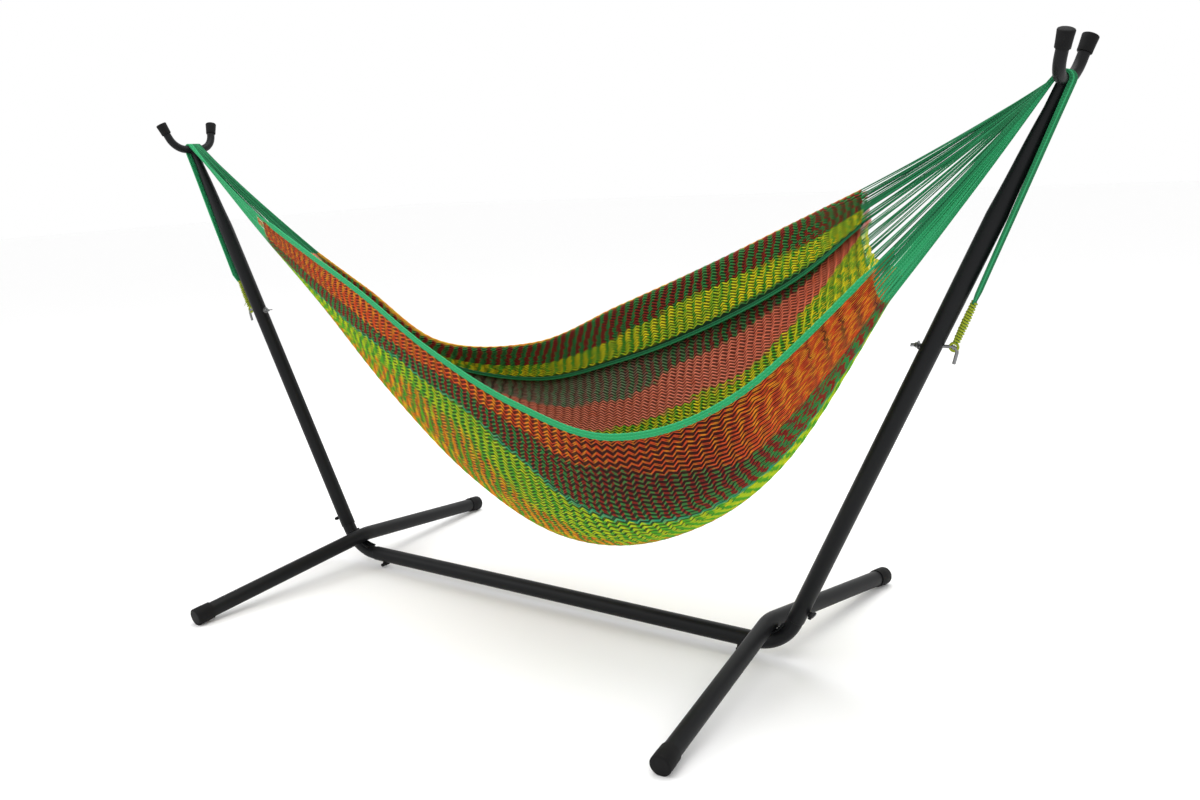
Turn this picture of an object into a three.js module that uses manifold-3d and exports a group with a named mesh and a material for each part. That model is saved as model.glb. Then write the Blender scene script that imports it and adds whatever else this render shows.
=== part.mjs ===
// A net hammock on a free-standing steel tube stand, in millimetres. X runs along the spine, +Y is the
// back, +Z is up, and the origin is on the floor under the middle of the stand.
import * as THREE from 'three';
import { mergeVertices } from 'three/addons/utils/BufferGeometryUtils.js';
import Module from 'manifold-3d';

const wasm = await Module();
wasm.setup();

// Stand
const tubeRadius = 22.5; // spine, arms and feet
const tubeWall = 1.6;
const elbowRadius = 20.6; // slides into the spine and the arms
const elbowWall = 2;
const spineHeight = 42; // the spine's centreline above the floor
const cornerX = 786; // where the lines of the spine and an arm would meet
const armTilt = THREE.MathUtils.degToRad(25.4); // outwards from upright
const armReach = 1487; // from the corner to the yoke, along the arm
const sleeveStart = 88; // from the corner to the rim of the arm or spine
const elbowBend = 128; // bend radius of the elbow's centreline
const spigotLength = 130; // how far the elbow goes into each tube
const neckRadius = 12.6; // the swaged top of the arm
const neckLength = 60;
const swageLength = 230;
const footHalfWidth = 618;
const footEndX = 809;
const footBend = 160;
const footNesting = 3.6; // room between foot and elbow, whose bends close in on each other
const roundSides = 20; // sides of the stand's tubes

// Yokes and caps
const yokeRadius = 12.5;
const yokeWall = 1.8;
const yokeFlat = 26; // half of the straight bottom
const yokeBend = 60;
const yokeTurn = THREE.MathUtils.degToRad(72);
const prongLength = 46;
const yokeLean = THREE.MathUtils.degToRad(-10); // stands more upright than the arm
const yokeSides = 12;
const yokeCapLength = 38;
const footCapRadius = 26;
const footCapLength = 54;
const capFloor = 4; // thickness of a cap's closed end
const capRounding = 3;
const soleCut = 1.6; // how much the sole of a foot cap is flattened

// Fasteners
const knobReach = 124; // from the corner to a knob bolt
const studRadius = 4;
const boltPlay = 0.6; // a bolt's hole is this much wider all round
const hookHeight = 838;
const hookRadius = 4;
const hookBend = 12;
const hookOutboard = 18; // straight shank outside the arm
const hookInboard = 18; // threaded end inside the arm
const washerThickness = 1.6;
const gap = 0.3; // between pieces that touch

// Hammock
const bandWidth = 46; // the strings side by side over a yoke
const bandThickness = 5;
const fanThickness = 2;
const netThickness = 6;
const foldRadius = 14; // the far edge folds inwards round this
const foldShare = 0.3; // of the way from the fold to the far edge
const sheetSteps = 28;
const rimRadius = 5;
const rimClearance = 3; // from the net's edge to the cord's surface
const stringGap = 14; // the thick solids of net and strings stay apart where the net narrows
const bundleWidth = 26; // the strings where they come off the yoke
const bundleStart = 30; // from the band on the yoke to the strings' solid

const zAxis = new THREE.Vector3(0, 0, 1);
const model = new THREE.Group();

function finish(color, roughness, metalness) {
  return new THREE.MeshStandardMaterial({ color, roughness, metalness });
}

const powderCoat = () => finish(0x17191b, 0.5, 0.2);
const rubber = () => finish(0x131415, 0.8, 0);
const zinc = () => finish(0xa9abad, 0.35, 0.9);
const plastic = () => finish(0x101112, 0.6, 0);
const cord = (color) => finish(color, 0.9, 0);

function at(x, y, z) {
  return new THREE.Vector3(x, y, z);
}

function add(parent, name, geometry, material) {
  const mesh = new THREE.Mesh(geometry, material);
  mesh.name = name;
  parent.add(mesh);
  return mesh;
}

// Shared vertices are merged, and the faces turned outwards if the volume comes out negative.
function closed(geometry) {
  const bare = new THREE.BufferGeometry();
  bare.setAttribute('position', geometry.attributes.position.clone());
  if (geometry.index) bare.setIndex(geometry.index.clone());
  const merged = mergeVertices(bare, 1e-3);
  const position = merged.attributes.position;
  const whole = [];
  let volume = 0;
  const corner = [at(0, 0, 0), at(0, 0, 0), at(0, 0, 0)];
  for (let i = 0; i < merged.index.count; i += 3) {
    const face = [0, 1, 2].map((k) => merged.index.getX(i + k));
    if (new Set(face).size < 3) continue;
    face.forEach((vertex, k) => corner[k].fromBufferAttribute(position, vertex));
    volume += corner[0].dot(corner[1].clone().cross(corner[2]));
    whole.push(...face);
  }
  if (volume < 0) whole.reverse();
  merged.setIndex(whole);
  return merged;
}

function toManifold(geometry) {
  const tidy = closed(geometry);
  const vertProperties = Float32Array.from(tidy.attributes.position.array);
  const triVerts = Uint32Array.from(tidy.index.array);
  return new wasm.Manifold(new wasm.Mesh({ numProp: 3, vertProperties, triVerts }));
}

function toGeometry(manifold) {
  const { vertProperties, triVerts } = manifold.getMesh();
  const geometry = new THREE.BufferGeometry();
  geometry.setAttribute('position', new THREE.BufferAttribute(vertProperties, 3));
  geometry.setIndex(new THREE.BufferAttribute(triVerts, 1));
  return geometry;
}

function cut(geometry, ...cutters) {
  const solid = cutters.reduce((left, cutter) => left.subtract(toManifold(cutter)), toManifold(geometry));
  return toGeometry(solid);
}

function join(...geometries) {
  return toGeometry(geometries.map(toManifold).reduce((sum, solid) => sum.add(solid)));
}

// A solid turned about the Z axis from [radius, height] pairs.
function turned(profile, sides) {
  const points = profile.map(([radius, height]) => new THREE.Vector2(radius, height));
  return closed(new THREE.LatheGeometry(points, sides).rotateX(Math.PI / 2));
}

function pipe(radius, wall, start, end, sides) {
  const inner = radius - wall;
  const profile = [[inner, start], [radius, start], [radius, end], [inner, end], [inner, start]];
  return turned(profile, sides);
}

function rod(from, to, radius, sides) {
  const length = from.distanceTo(to);
  const turn = new THREE.Quaternion().setFromUnitVectors(zAxis, to.clone().sub(from).normalize());
  const middle = from.clone().add(to).multiplyScalar(0.5);
  const geometry = new THREE.CylinderGeometry(radius, radius, length, sides).rotateX(Math.PI / 2);
  return geometry.applyQuaternion(turn).translate(middle.x, middle.y, middle.z);
}

// A path given by its own stations, so that straight stretches take one step and bends take several.
class StationPath extends THREE.Curve {
  constructor(stations) {
    super();
    this.stations = stations;
  }

  station(share) {
    return this.stations[Math.round(share * (this.stations.length - 1))];
  }

  getPointAt(share) {
    return this.station(share).point.clone();
  }

  getTangentAt(share) {
    return this.station(share).tangent.clone();
  }

  getSpacedPoints() {
    return this.stations.map((station) => station.point.clone());
  }
}

// Stations along legs of given length and bends of given radius and angle, in the YZ plane from start.
function route(start, heading, moves) {
  let angle = heading;
  const point = start.clone();
  const ahead = () => at(0, Math.cos(angle), Math.sin(angle));
  const stations = [{ point: point.clone(), tangent: ahead() }];
  const note = () => stations.push({ point: point.clone(), tangent: ahead() });
  for (const move of moves) {
    if (move.leg) {
      point.addScaledVector(ahead(), move.leg);
      note();
      continue;
    }
    const step = move.turn / move.steps;
    const chord = 2 * move.bend * Math.sin(Math.abs(step) / 2);
    for (let i = 0; i < move.steps; i += 1) {
      angle += step / 2;
      point.addScaledVector(ahead(), chord);
      angle += step / 2;
      note();
    }
  }
  return stations;
}

function ring(radius, sides) {
  const points = [];
  for (let i = 0; i < sides; i += 1) {
    const angle = (2 * Math.PI * i) / sides;
    points.push(new THREE.Vector2(radius * Math.cos(angle), radius * Math.sin(angle)));
  }
  return points;
}

function bentTube(stations, radius, wall, sides) {
  const section = new THREE.Shape(ring(radius, sides));
  if (wall) section.holes.push(new THREE.Path(ring(radius - wall, sides)));
  const steps = stations.length - 1;
  const extrudePath = new StationPath(stations);
  return closed(new THREE.ExtrudeGeometry(section, { steps, extrudePath, curveSegments: 1 }));
}

// From the arm's own frame, Z up the arm from the corner, to the stand's frame.
const armFrame = new THREE.Matrix4().makeRotationY(armTilt).setPosition(cornerX, 0, spineHeight);
const armPoint = (x, y, z) => at(x, y, z).applyMatrix4(armFrame);
const inArm = (point) => point.clone().applyMatrix4(armFrame.clone().invert());

// Where the hook bolt crosses the arm, and what lies on it.
const hookX = cornerX + (hookHeight - spineHeight) * Math.tan(armTilt);
const armSide = tubeRadius / Math.cos(armTilt); // from the arm's centreline to its side, level
const washerRadius = 10;
const washerX = hookX - armSide - washerRadius * Math.tan(armTilt) - gap;
const hookTop = hookX + armSide + hookOutboard;
const insertRadius = studRadius + 2.5;

function spineTube() {
  const end = cornerX - sleeveStart;
  const tube = pipe(tubeRadius, tubeWall, -end, end, roundSides).rotateY(Math.PI / 2);
  const knobX = cornerX - knobReach;
  const holes = [-knobX, knobX].map((x) => rod(at(x, 0, 0), at(x, 0, -40), studRadius + boltPlay, 12));
  return cut(tube, ...holes);
}

function elbowTube() {
  const turn = Math.PI / 2 - armTilt;
  const straight = sleeveStart + spigotLength - elbowBend * Math.tan(turn / 2);
  const start = at(0, cornerX - sleeveStart - spigotLength, 0);
  const moves = [{ leg: straight }, { bend: elbowBend, turn, steps: 7 }, { leg: straight }];
  const tube = bentTube(route(start, 0, moves), elbowRadius, elbowWall, roundSides).rotateZ(-Math.PI / 2);
  const knobX = cornerX - knobReach;
  const insertHole = insertRadius + gap;
  const spineHole = rod(at(knobX, 0, 0), at(knobX, 0, -40), insertHole, 12);
  const armHole = rod(armPoint(0, 0, knobReach), armPoint(40, 0, knobReach), insertHole, 12);
  return cut(tube, spineHole, armHole.translate(0, 0, -spineHeight));
}

function armTube() {
  const top = armReach - 4;
  const inner = tubeRadius - tubeWall;
  const neckInner = neckRadius - elbowWall; // swaging thickens the wall
  const profile = [
    [inner, sleeveStart],
    [tubeRadius, sleeveStart],
    [tubeRadius, top - neckLength - swageLength],
    [(tubeRadius + neckRadius) / 2, top - neckLength - swageLength / 2],
    [neckRadius, top - neckLength],
    [neckRadius, top],
    [neckInner, top],
    [neckInner, top - neckLength],
    [inner, top - neckLength - swageLength],
    [inner, sleeveStart],
  ];
  const saddle = rod(at(0, -60, top), at(0, 60, top), yokeRadius + gap, 16);
  const knobHole = rod(at(0, 0, knobReach), at(40, 0, knobReach), studRadius + boltPlay, 12);
  const hook = [hookX - 60, hookX + 60].map((x) => inArm(at(x, 0, hookHeight)));
  return cut(turned(profile, roundSides), saddle, knobHole, rod(...hook, hookRadius + boltPlay, 12));
}

// Half of a yoke, from the middle of its straight bottom to the end of the prong towards +Y.
const prongMoves = [{ bend: yokeBend, turn: yokeTurn, steps: 5 }, { leg: prongLength }];
const prong = route(at(0, yokeFlat, 0), 0, prongMoves);

function yokeTube() {
  const opposite = prong.map(({ point, tangent }) => ({
    point: at(0, -point.y, point.z),
    tangent: at(0, tangent.y, -tangent.z),
  }));
  return bentTube([...opposite.reverse(), ...prong], yokeRadius, yokeWall, yokeSides);
}

// A push-on cap: its mouth at 0, its closed end at length, wider at the end where mouth and end differ.
function cap(bore, mouth, end, length, sides) {
  const inside = length - capFloor;
  return turned([
    [0, inside], [bore, inside], [bore, 0], [mouth, 0],
    [end, length - capRounding], [end - capRounding, length], [0, length],
  ], sides);
}

// Pushes a cap onto a tube whose end is at the given point.
function pushOn(shape, length, end, direction) {
  const mouth = end.clone().addScaledVector(direction, capFloor + gap - length);
  const turn = new THREE.Quaternion().setFromUnitVectors(zAxis, direction);
  return shape.applyQuaternion(turn).translate(mouth.x, mouth.y, mouth.z);
}

function yokeCap(side) {
  const { point, tangent } = prong.at(-1);
  const shape = cap(yokeRadius + gap, yokeRadius + 3, yokeRadius + 5, yokeCapLength, 16);
  return pushOn(shape, yokeCapLength, at(0, side * point.y, point.z), at(0, side * tangent.y, tangent.z));
}

// The foot nests on the inside of the elbow's bend, and its ends come down to the floor.
const bisector = (Math.PI / 2 - armTilt) / 2;
const nest = elbowBend - elbowRadius - tubeRadius - footNesting;
const bendCenter = at(cornerX - elbowBend * Math.tan(bisector), 0, spineHeight + elbowBend);
const footApex = bendCenter.clone().add(at(nest * Math.sin(bisector), 0, -nest * Math.cos(bisector)));
const footEnd = at(footEndX, footHalfWidth, footCapRadius - soleCut);
const footBow = at(footEnd.x, 0, footEnd.z).sub(footApex);
const footTilt = Math.atan2(-footBow.x, -footBow.z);

function footTube() {
  const angle = Math.atan2(footBow.length(), footHalfWidth);
  const leg = footHalfWidth / Math.cos(angle) - footBend * Math.tan(angle);
  const moves = [{ leg }, { bend: footBend, turn: -2 * angle, steps: 4 }, { leg }];
  const stations = route(at(0, -footHalfWidth, -footBow.length()), angle, moves);
  return bentTube(stations, tubeRadius, tubeWall, roundSides);
}

function footCap(side) {
  const end = at(footEnd.x, side * footEnd.y, footEnd.z);
  const direction = end.clone().sub(footApex).normalize();
  const shape = cap(tubeRadius + gap, footCapRadius, footCapRadius, footCapLength, 24);
  const floor = new THREE.BoxGeometry(400, 400, 40).translate(end.x, end.y, -20);
  return cut(pushOn(shape, footCapLength, end, direction), floor);
}

// Knob bolts point along -Z of their own frame, with the tube's surface at 0.
function knobGrip() {
  const wing = new THREE.Shape();
  const half = 18;
  const waist = 5.5;
  const lobe = 7;
  const thickness = 8;
  const collarLength = 5;
  const standOff = 0.8; // from the tube to the collar
  wing.moveTo(0, waist);
  wing.lineTo(half - lobe, lobe);
  wing.absarc(half - lobe, 0, lobe, Math.PI / 2, -Math.PI / 2, true);
  wing.lineTo(0, -waist);
  wing.lineTo(lobe - half, -lobe);
  wing.absarc(lobe - half, 0, lobe, -Math.PI / 2, -Math.PI * 1.5, true);
  wing.closePath();
  const depth = { depth: thickness, bevelEnabled: false, curveSegments: 6 };
  const bar = new THREE.ExtrudeGeometry(wing, depth);
  bar.translate(0, 0, -standOff - collarLength - thickness + 0.2); // the two overlap to join
  const collar = new THREE.CylinderGeometry(7.5, 9, collarLength, 16).rotateX(Math.PI / 2);
  collar.translate(0, 0, -standOff - collarLength / 2);
  const socket = rod(at(0, 0, -2), at(0, 0, 9), studRadius + gap, 12);
  return cut(join(bar, collar), socket);
}

function knobStud() {
  return rod(at(0, 0, -1.8), at(0, 0, 12), studRadius, 12);
}

// A flanged rivet nut in the elbow's wall, clear of the curved walls on both sides of it.
function studInsert() {
  const inner = studRadius + gap;
  const face = 3;
  const flange = 6.2;
  const flangeRadius = insertRadius + 1.5;
  const end = 7.6;
  const profile = [
    [inner, face], [insertRadius, face], [insertRadius, flange], [flangeRadius, flange],
    [flangeRadius, end], [inner, end], [inner, face],
  ];
  return turned(profile, 12);
}

function hookBolt() {
  const start = washerX - hookInboard;
  const turn = -THREE.MathUtils.degToRad(105);
  const moves = [{ leg: hookTop - start }, { bend: hookBend, turn, steps: 6 }, { leg: 2 * hookBend }];
  return bentTube(route(at(0, start, hookHeight), 0, moves), hookRadius, 0, 10).rotateZ(-Math.PI / 2);
}

function hookWasher() {
  const width = washerRadius - hookRadius - gap;
  return pipe(washerRadius, width, 0, washerThickness, 16).rotateY(-Math.PI / 2);
}

function wingNut() {
  const bossRadius = 7;
  const boss = pipe(bossRadius, bossRadius - hookRadius - gap, 0, bossRadius, 14);
  const ear = new THREE.Shape();
  ear.moveTo(5.5, 1);
  ear.lineTo(12, 3);
  ear.quadraticCurveTo(19, 5, 18, 12);
  ear.quadraticCurveTo(13, 14, 10, 8.5);
  ear.lineTo(5.5, 6);
  ear.closePath();
  const depth = 2.4;
  const wings = [0, Math.PI].map((turn) => {
    const plate = new THREE.ExtrudeGeometry(ear, { depth, bevelEnabled: false, curveSegments: 4 });
    return plate.translate(0, 0, -depth / 2).rotateX(Math.PI / 2).rotateZ(turn);
  });
  return join(boss, ...wings).rotateY(-Math.PI / 2);
}

// Hammock: how the net lies, from stations along its near edge, its lowest line and its far fold.
const nearEdge = [
  at(-985, -105, 1165), at(-720, -148, 1054), at(-430, -208, 944), at(-110, -273, 806),
  at(210, -313, 693), at(520, -325, 641), at(830, -292, 757), at(1126, -128, 1064),
];
const keelLine = [
  at(-1062, 50, 1040), at(-800, 25, 836), at(-490, 0, 590), at(-140, -15, 368),
  at(200, -45, 262), at(530, -60, 322), at(830, -60, 545), at(1118, -35, 1000),
];
const farFold = [
  at(-1035, 150, 1028), at(-800, 170, 888), at(-540, 220, 716), at(-190, 285, 718),
  at(150, 262, 846), at(460, 228, 966), at(740, 192, 1082), at(955, 150, 1171),
];
const flapDrop = [5, 14, 46, 100, 147, 152, 130, 58];

const fromStations = (points) => new THREE.CatmullRomCurve3(points, false, 'catmullrom', 0.5);
const nearCurve = fromStations(nearEdge);
const keelCurve = fromStations(keelLine);
const farCurve = fromStations(farFold);
const dropCurve = fromStations(flapDrop.map((drop, i) => at(i, 0, drop)));

// along runs 0 to 1 from left to right; across runs 0 at the near edge, 1 at the keel, 2 at the far
// fold and 3 at the far edge, which hangs inside.
function netPoint(along, across) {
  const keel = keelCurve.getPoint(along);
  const far = farCurve.getPoint(along);
  if (across <= 2) {
    const edge = across <= 1 ? nearCurve.getPoint(along) : far;
    const angle = (Math.abs(1 - across) * Math.PI) / 2;
    const level = edge.clone().sub(keel).setZ(0);
    const rise = (edge.z - keel.z) * (1 - Math.cos(angle));
    return keel.addScaledVector(level, Math.sin(angle)).add(at(0, 0, rise));
  }
  const inwards = keel.clone().sub(far).setZ(0);
  const fold = Math.min(foldRadius, 0.08 * inwards.length()); // tighter where the net is narrow
  inwards.normalize();
  const past = across - 2;
  if (past < foldShare) {
    const angle = (past / foldShare) * Math.PI;
    const shift = fold * (1 - Math.cos(angle));
    return far.addScaledVector(inwards, shift).add(at(0, 0, fold * Math.sin(angle)));
  }
  const down = (past - foldShare) / (1 - foldShare);
  const drop = dropCurve.getPoint(along).z;
  return far.addScaledVector(inwards, 2 * fold + 6 * down).add(at(0, 0, -drop * down));
}

// A closed sheet of even thickness from rows of points, with its rim closed all round.
function sheet(pointAt, rows, columns, thickness) {
  const positions = [];
  const index = (layer, i, j) => (layer * (rows.length) + i) * columns.length + j;
  const nudge = 1e-3;
  for (const layer of [1, -1]) {
    for (const row of rows) {
      for (const column of columns) {
        const point = pointAt(row, column);
        const stepU = row + nudge > 1 ? -nudge : nudge;
        const last = columns.at(-1);
        const stepV = column + nudge > last ? -nudge : nudge;
        const alongU = pointAt(row + stepU, column).sub(point).divideScalar(stepU);
        const alongV = pointAt(row, column + stepV).sub(point).divideScalar(stepV);
        const normal = alongU.cross(alongV).normalize();
        positions.push(...point.addScaledVector(normal, (layer * thickness) / 2).toArray());
      }
    }
  }
  const faces = [];
  const quad = (a, b, c, d) => faces.push(a, b, c, a, c, d);
  for (let i = 0; i + 1 < rows.length; i += 1) {
    for (let j = 0; j + 1 < columns.length; j += 1) {
      quad(index(0, i, j), index(0, i + 1, j), index(0, i + 1, j + 1), index(0, i, j + 1));
      quad(index(1, i, j), index(1, i, j + 1), index(1, i + 1, j + 1), index(1, i + 1, j));
    }
  }
  const lastRow = rows.length - 1;
  const lastColumn = columns.length - 1;
  for (let i = 0; i < lastRow; i += 1) {
    quad(index(0, i + 1, 0), index(0, i, 0), index(1, i, 0), index(1, i + 1, 0));
    const [start, end] = [index(0, i, lastColumn), index(0, i + 1, lastColumn)];
    quad(start, end, index(1, i + 1, lastColumn), index(1, i, lastColumn));
  }
  for (let j = 0; j < lastColumn; j += 1) {
    quad(index(0, 0, j), index(0, 0, j + 1), index(1, 0, j + 1), index(1, 0, j));
    quad(index(0, lastRow, j + 1), index(0, lastRow, j), index(1, lastRow, j), index(1, lastRow, j + 1));
  }
  const geometry = new THREE.BufferGeometry();
  geometry.setAttribute('position', new THREE.Float32BufferAttribute(positions, 3));
  geometry.setIndex(faces);
  return closed(geometry);
}

function shares(count, low, high) {
  return Array.from({ length: count + 1 }, (_, i) => low + ((high - low) * i) / count);
}

const foldSteps = [1 / 3, 2 / 3, 1].map((share) => 2 + share * foldShare);
const acrossSteps = [...shares(6, 0, 1), ...shares(7, 1, 2).slice(1), ...foldSteps, 2.65, 3];

function hammockNet() {
  return sheet(netPoint, shares(sheetSteps, 0, 1), acrossSteps, netThickness);
}

// The end strings run from the net's end to a narrow band beside the yoke.
function stringFan(side) {
  const end = side > 0 ? 1 : 0;
  const yoke = armPoint(-yokeRadius, 0, armReach + yokeRadius);
  const slope = 0.85; // how steeply the strings leave the yoke
  const pointAt = (share, across) => {
    const spread = (across / 3 - 0.5) * bundleWidth;
    const start = at(side * (yoke.x - bundleStart), spread, yoke.z - bundleStart * slope);
    const finish = netPoint(end, across);
    const reach = 1 - stringGap / finish.distanceTo(start);
    return start.lerp(finish, share * reach);
  };
  return sheet(pointAt, shares(3, 0, 1), acrossSteps, fanThickness);
}

function edgeCord(across, start, end) {
  const inside = across > 1 ? across - 0.05 : across + 0.05;
  const pointAt = (along) => {
    const edge = netPoint(along, across);
    const outwards = edge.clone().sub(netPoint(along, inside)).normalize();
    return edge.addScaledVector(outwards, rimRadius + rimClearance);
  };
  const nudge = 1e-3;
  const stations = shares(Math.round(sheetSteps * (end - start)), start, end).map((along) => {
    const step = along < 0.5 ? nudge : -nudge;
    const tangent = pointAt(along + step).sub(pointAt(along)).divideScalar(step).normalize();
    return { point: pointAt(along), tangent };
  });
  return bentTube(stations, rimRadius, 0, 6);
}

// The strings gathered over the yoke and down behind the arm to the whipped eye.
const strapArc = yokeRadius + 0.8 + bandThickness / 2;
const eyePoint = at(hookTop + 5, 0, hookHeight - 2);
const whipTop = at(eyePoint.x + 42, 0, eyePoint.z + 98);
const whipRadius = 7.5;
const yokeCenter = armPoint(0, 0, armReach);
const strapRun = whipTop.clone().sub(yokeCenter);
const strapLean = Math.atan2(strapRun.z, strapRun.x) - Math.asin(strapArc / strapRun.length());

function backStrap() {
  const inboard = THREE.MathUtils.degToRad(132);
  const outboard = strapLean + Math.PI / 2;
  const steps = 7;
  const stations = [];
  for (let i = 0; i <= steps; i += 1) {
    const angle = inboard + ((outboard - inboard) * i) / steps;
    const outwards = at(0, Math.cos(angle), Math.sin(angle));
    const point = at(0, yokeCenter.x, yokeCenter.z).addScaledVector(outwards, strapArc);
    stations.push({ point, tangent: at(0, Math.sin(angle), -Math.cos(angle)) });
  }
  const tangent = at(0, Math.cos(strapLean), Math.sin(strapLean));
  const straight = Math.sqrt(strapRun.lengthSq() - strapArc ** 2) - 3; // ends just above the whipping
  stations.push({ point: stations.at(-1).point.clone().addScaledVector(tangent, straight), tangent });
  const half = bandWidth / 2;
  const thick = bandThickness / 2;
  const corners = [[-half, -thick], [half, -thick], [half, thick], [-half, thick]];
  const band = new THREE.Shape(corners.map(([x, y]) => new THREE.Vector2(x, y)));
  const options = { steps: stations.length - 1, extrudePath: new StationPath(stations) };
  return closed(new THREE.ExtrudeGeometry(band, options)).rotateZ(-Math.PI / 2);
}

function whippedEye() {
  const up = whipTop.clone().sub(eyePoint).normalize();
  const inner = hookRadius + 1.6;
  const wire = 3.2;
  const center = eyePoint.clone().addScaledVector(up, inner - hookRadius);
  const loop = new THREE.TorusGeometry(inner + wire, wire, 8, 16);
  const facing = at(-up.z, 0, up.x).normalize();
  loop.applyQuaternion(new THREE.Quaternion().setFromUnitVectors(zAxis, facing));
  loop.translate(center.x, center.y, center.z);
  const neck = center.clone().addScaledVector(up, inner + wire);
  return join(loop, rod(neck, whipTop, whipRadius, 12));
}

// A blank sewn label on the outside of the strap.
function strapTag() {
  const aboveWhip = 34;
  const clear = bandThickness / 2 + 1.8;
  const run = at(Math.cos(strapLean), 0, Math.sin(strapLean));
  const out = at(-run.z, 0, run.x);
  const center = whipTop.clone().addScaledVector(run, -aboveWhip).addScaledVector(out, clear);
  const label = new THREE.BoxGeometry(1.2, 24, 38);
  const turn = Math.atan2(-run.x, -run.z);
  return closed(label).rotateY(turn).translate(center.x, center.y, center.z);
}

function standEnd(side) {
  const name = side > 0 ? 'right' : 'left';
  const places = side > 0 ? { back: 1, front: -1 } : { back: -1, front: 1 };
  const group = new THREE.Group();
  group.rotation.z = side > 0 ? 0 : Math.PI;

  const elbow = add(group, `${name}_elbow`, elbowTube(), powderCoat());
  elbow.position.z = spineHeight;
  const arm = new THREE.Group();
  arm.position.set(cornerX, 0, spineHeight);
  arm.rotation.y = armTilt;
  group.add(arm);
  add(arm, `${name}_arm`, armTube(), powderCoat());
  const fork = new THREE.Group();
  fork.position.z = armReach;
  fork.rotation.y = yokeLean;
  arm.add(fork);
  add(fork, `${name}_yoke`, yokeTube(), powderCoat());
  const foot = add(group, `${name}_foot`, footTube(), powderCoat());
  foot.position.copy(footApex);
  foot.rotation.y = footTilt;
  for (const [place, sign] of Object.entries(places)) {
    add(fork, `${name}_${place}_yoke_cap`, yokeCap(sign), rubber());
    add(group, `${name}_${place}_foot_cap`, footCap(sign), rubber());
  }

  for (const joint of ['arm', 'spine']) {
    const seat = new THREE.Group();
    if (joint === 'arm') {
      seat.position.copy(armPoint(tubeRadius, 0, knobReach));
      seat.rotation.y = -(Math.PI / 2 - armTilt);
    } else {
      seat.position.set(cornerX - knobReach, 0, spineHeight - tubeRadius);
    }
    group.add(seat);
    add(seat, `${name}_${joint}_knob`, knobGrip(), plastic());
    add(seat, `${name}_${joint}_knob_stud`, knobStud(), zinc());
    add(seat, `${name}_${joint}_insert`, studInsert(), zinc());
  }

  add(group, `${name}_hook_bolt`, hookBolt(), zinc());
  const washer = add(group, `${name}_hook_washer`, hookWasher(), zinc());
  washer.position.set(washerX, 0, hookHeight);
  const nut = add(group, `${name}_wing_nut`, wingNut(), zinc());
  nut.position.set(washerX - washerThickness - gap, 0, hookHeight);
  add(group, `${name}_back_strap`, backStrap(), cord(0x229a5b));
  add(group, `${name}_whipped_eye`, whippedEye(), cord(0xa6b82a));
  if (side < 0) add(group, 'strap_tag', strapTag(), cord(0xb8b09c));
  return group;
}

const spine = add(model, 'spine_tube', spineTube(), powderCoat());
spine.position.z = spineHeight;
model.add(standEnd(1), standEnd(-1));

const hammock = new THREE.Group();
add(hammock, 'hammock_net', hammockNet(), cord(0xc2561f));
add(hammock, 'left_string_fan', stringFan(-1), cord(0x229a5b));
add(hammock, 'right_string_fan', stringFan(1), cord(0x229a5b));
add(hammock, 'near_edge_cord', edgeCord(0, 0, 1), cord(0x3dbe82));
add(hammock, 'far_edge_cord', edgeCord(3, 8 / sheetSteps, 27 / sheetSteps), cord(0x1f7a4a));
model.add(hammock);

export default model;
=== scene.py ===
import math
import bmesh
import bpy
import numpy as np
from mathutils import Matrix, Vector


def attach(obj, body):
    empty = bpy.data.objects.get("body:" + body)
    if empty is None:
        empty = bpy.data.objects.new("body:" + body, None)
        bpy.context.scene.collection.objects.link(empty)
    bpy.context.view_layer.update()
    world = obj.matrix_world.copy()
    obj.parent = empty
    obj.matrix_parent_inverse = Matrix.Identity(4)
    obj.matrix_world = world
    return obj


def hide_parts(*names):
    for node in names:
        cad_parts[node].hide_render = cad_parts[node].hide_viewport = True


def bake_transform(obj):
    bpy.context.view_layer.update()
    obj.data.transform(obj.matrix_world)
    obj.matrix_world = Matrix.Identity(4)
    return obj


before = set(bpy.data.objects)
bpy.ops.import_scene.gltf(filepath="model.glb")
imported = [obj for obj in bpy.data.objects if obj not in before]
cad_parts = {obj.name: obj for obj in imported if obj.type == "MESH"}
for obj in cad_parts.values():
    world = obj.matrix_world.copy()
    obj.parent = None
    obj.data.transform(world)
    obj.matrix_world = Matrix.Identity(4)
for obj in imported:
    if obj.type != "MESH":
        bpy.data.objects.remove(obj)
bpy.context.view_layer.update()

upwards = np.array([0.0, 0.0, 1.0])

# Camera: a person's eye to the right of the front, turned a little about its own axis.
cameraLook = {"place": (1.9976, -2.3912, 1.2726), "yaw": 36.16, "pitch": -12.06, "roll": -3.02, "lens": 33.46}


def makeCamera():
    yaw, pitch, roll = (math.radians(cameraLook[name]) for name in ("yaw", "pitch", "roll"))
    ahead = Vector((-math.sin(yaw) * math.cos(pitch), math.cos(yaw) * math.cos(pitch), math.sin(pitch)))
    right = ahead.cross(Vector((0, 0, 1))).normalized()
    above = right.cross(ahead)
    rightTurned = math.cos(roll) * right + math.sin(roll) * above
    aboveTurned = math.cos(roll) * above - math.sin(roll) * right
    data = bpy.data.cameras.new("camera")
    data.sensor_width = 36
    data.lens = cameraLook["lens"]
    data.clip_end = 60
    camera = bpy.data.objects.new("camera", data)
    camera.matrix_world = Matrix((rightTurned, aboveTurned, -ahead)).transposed().to_4x4()
    camera.location = cameraLook["place"]
    bpy.context.scene.collection.objects.link(camera)
    bpy.context.scene.camera = camera


makeCamera()
print("camera placed")


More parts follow.
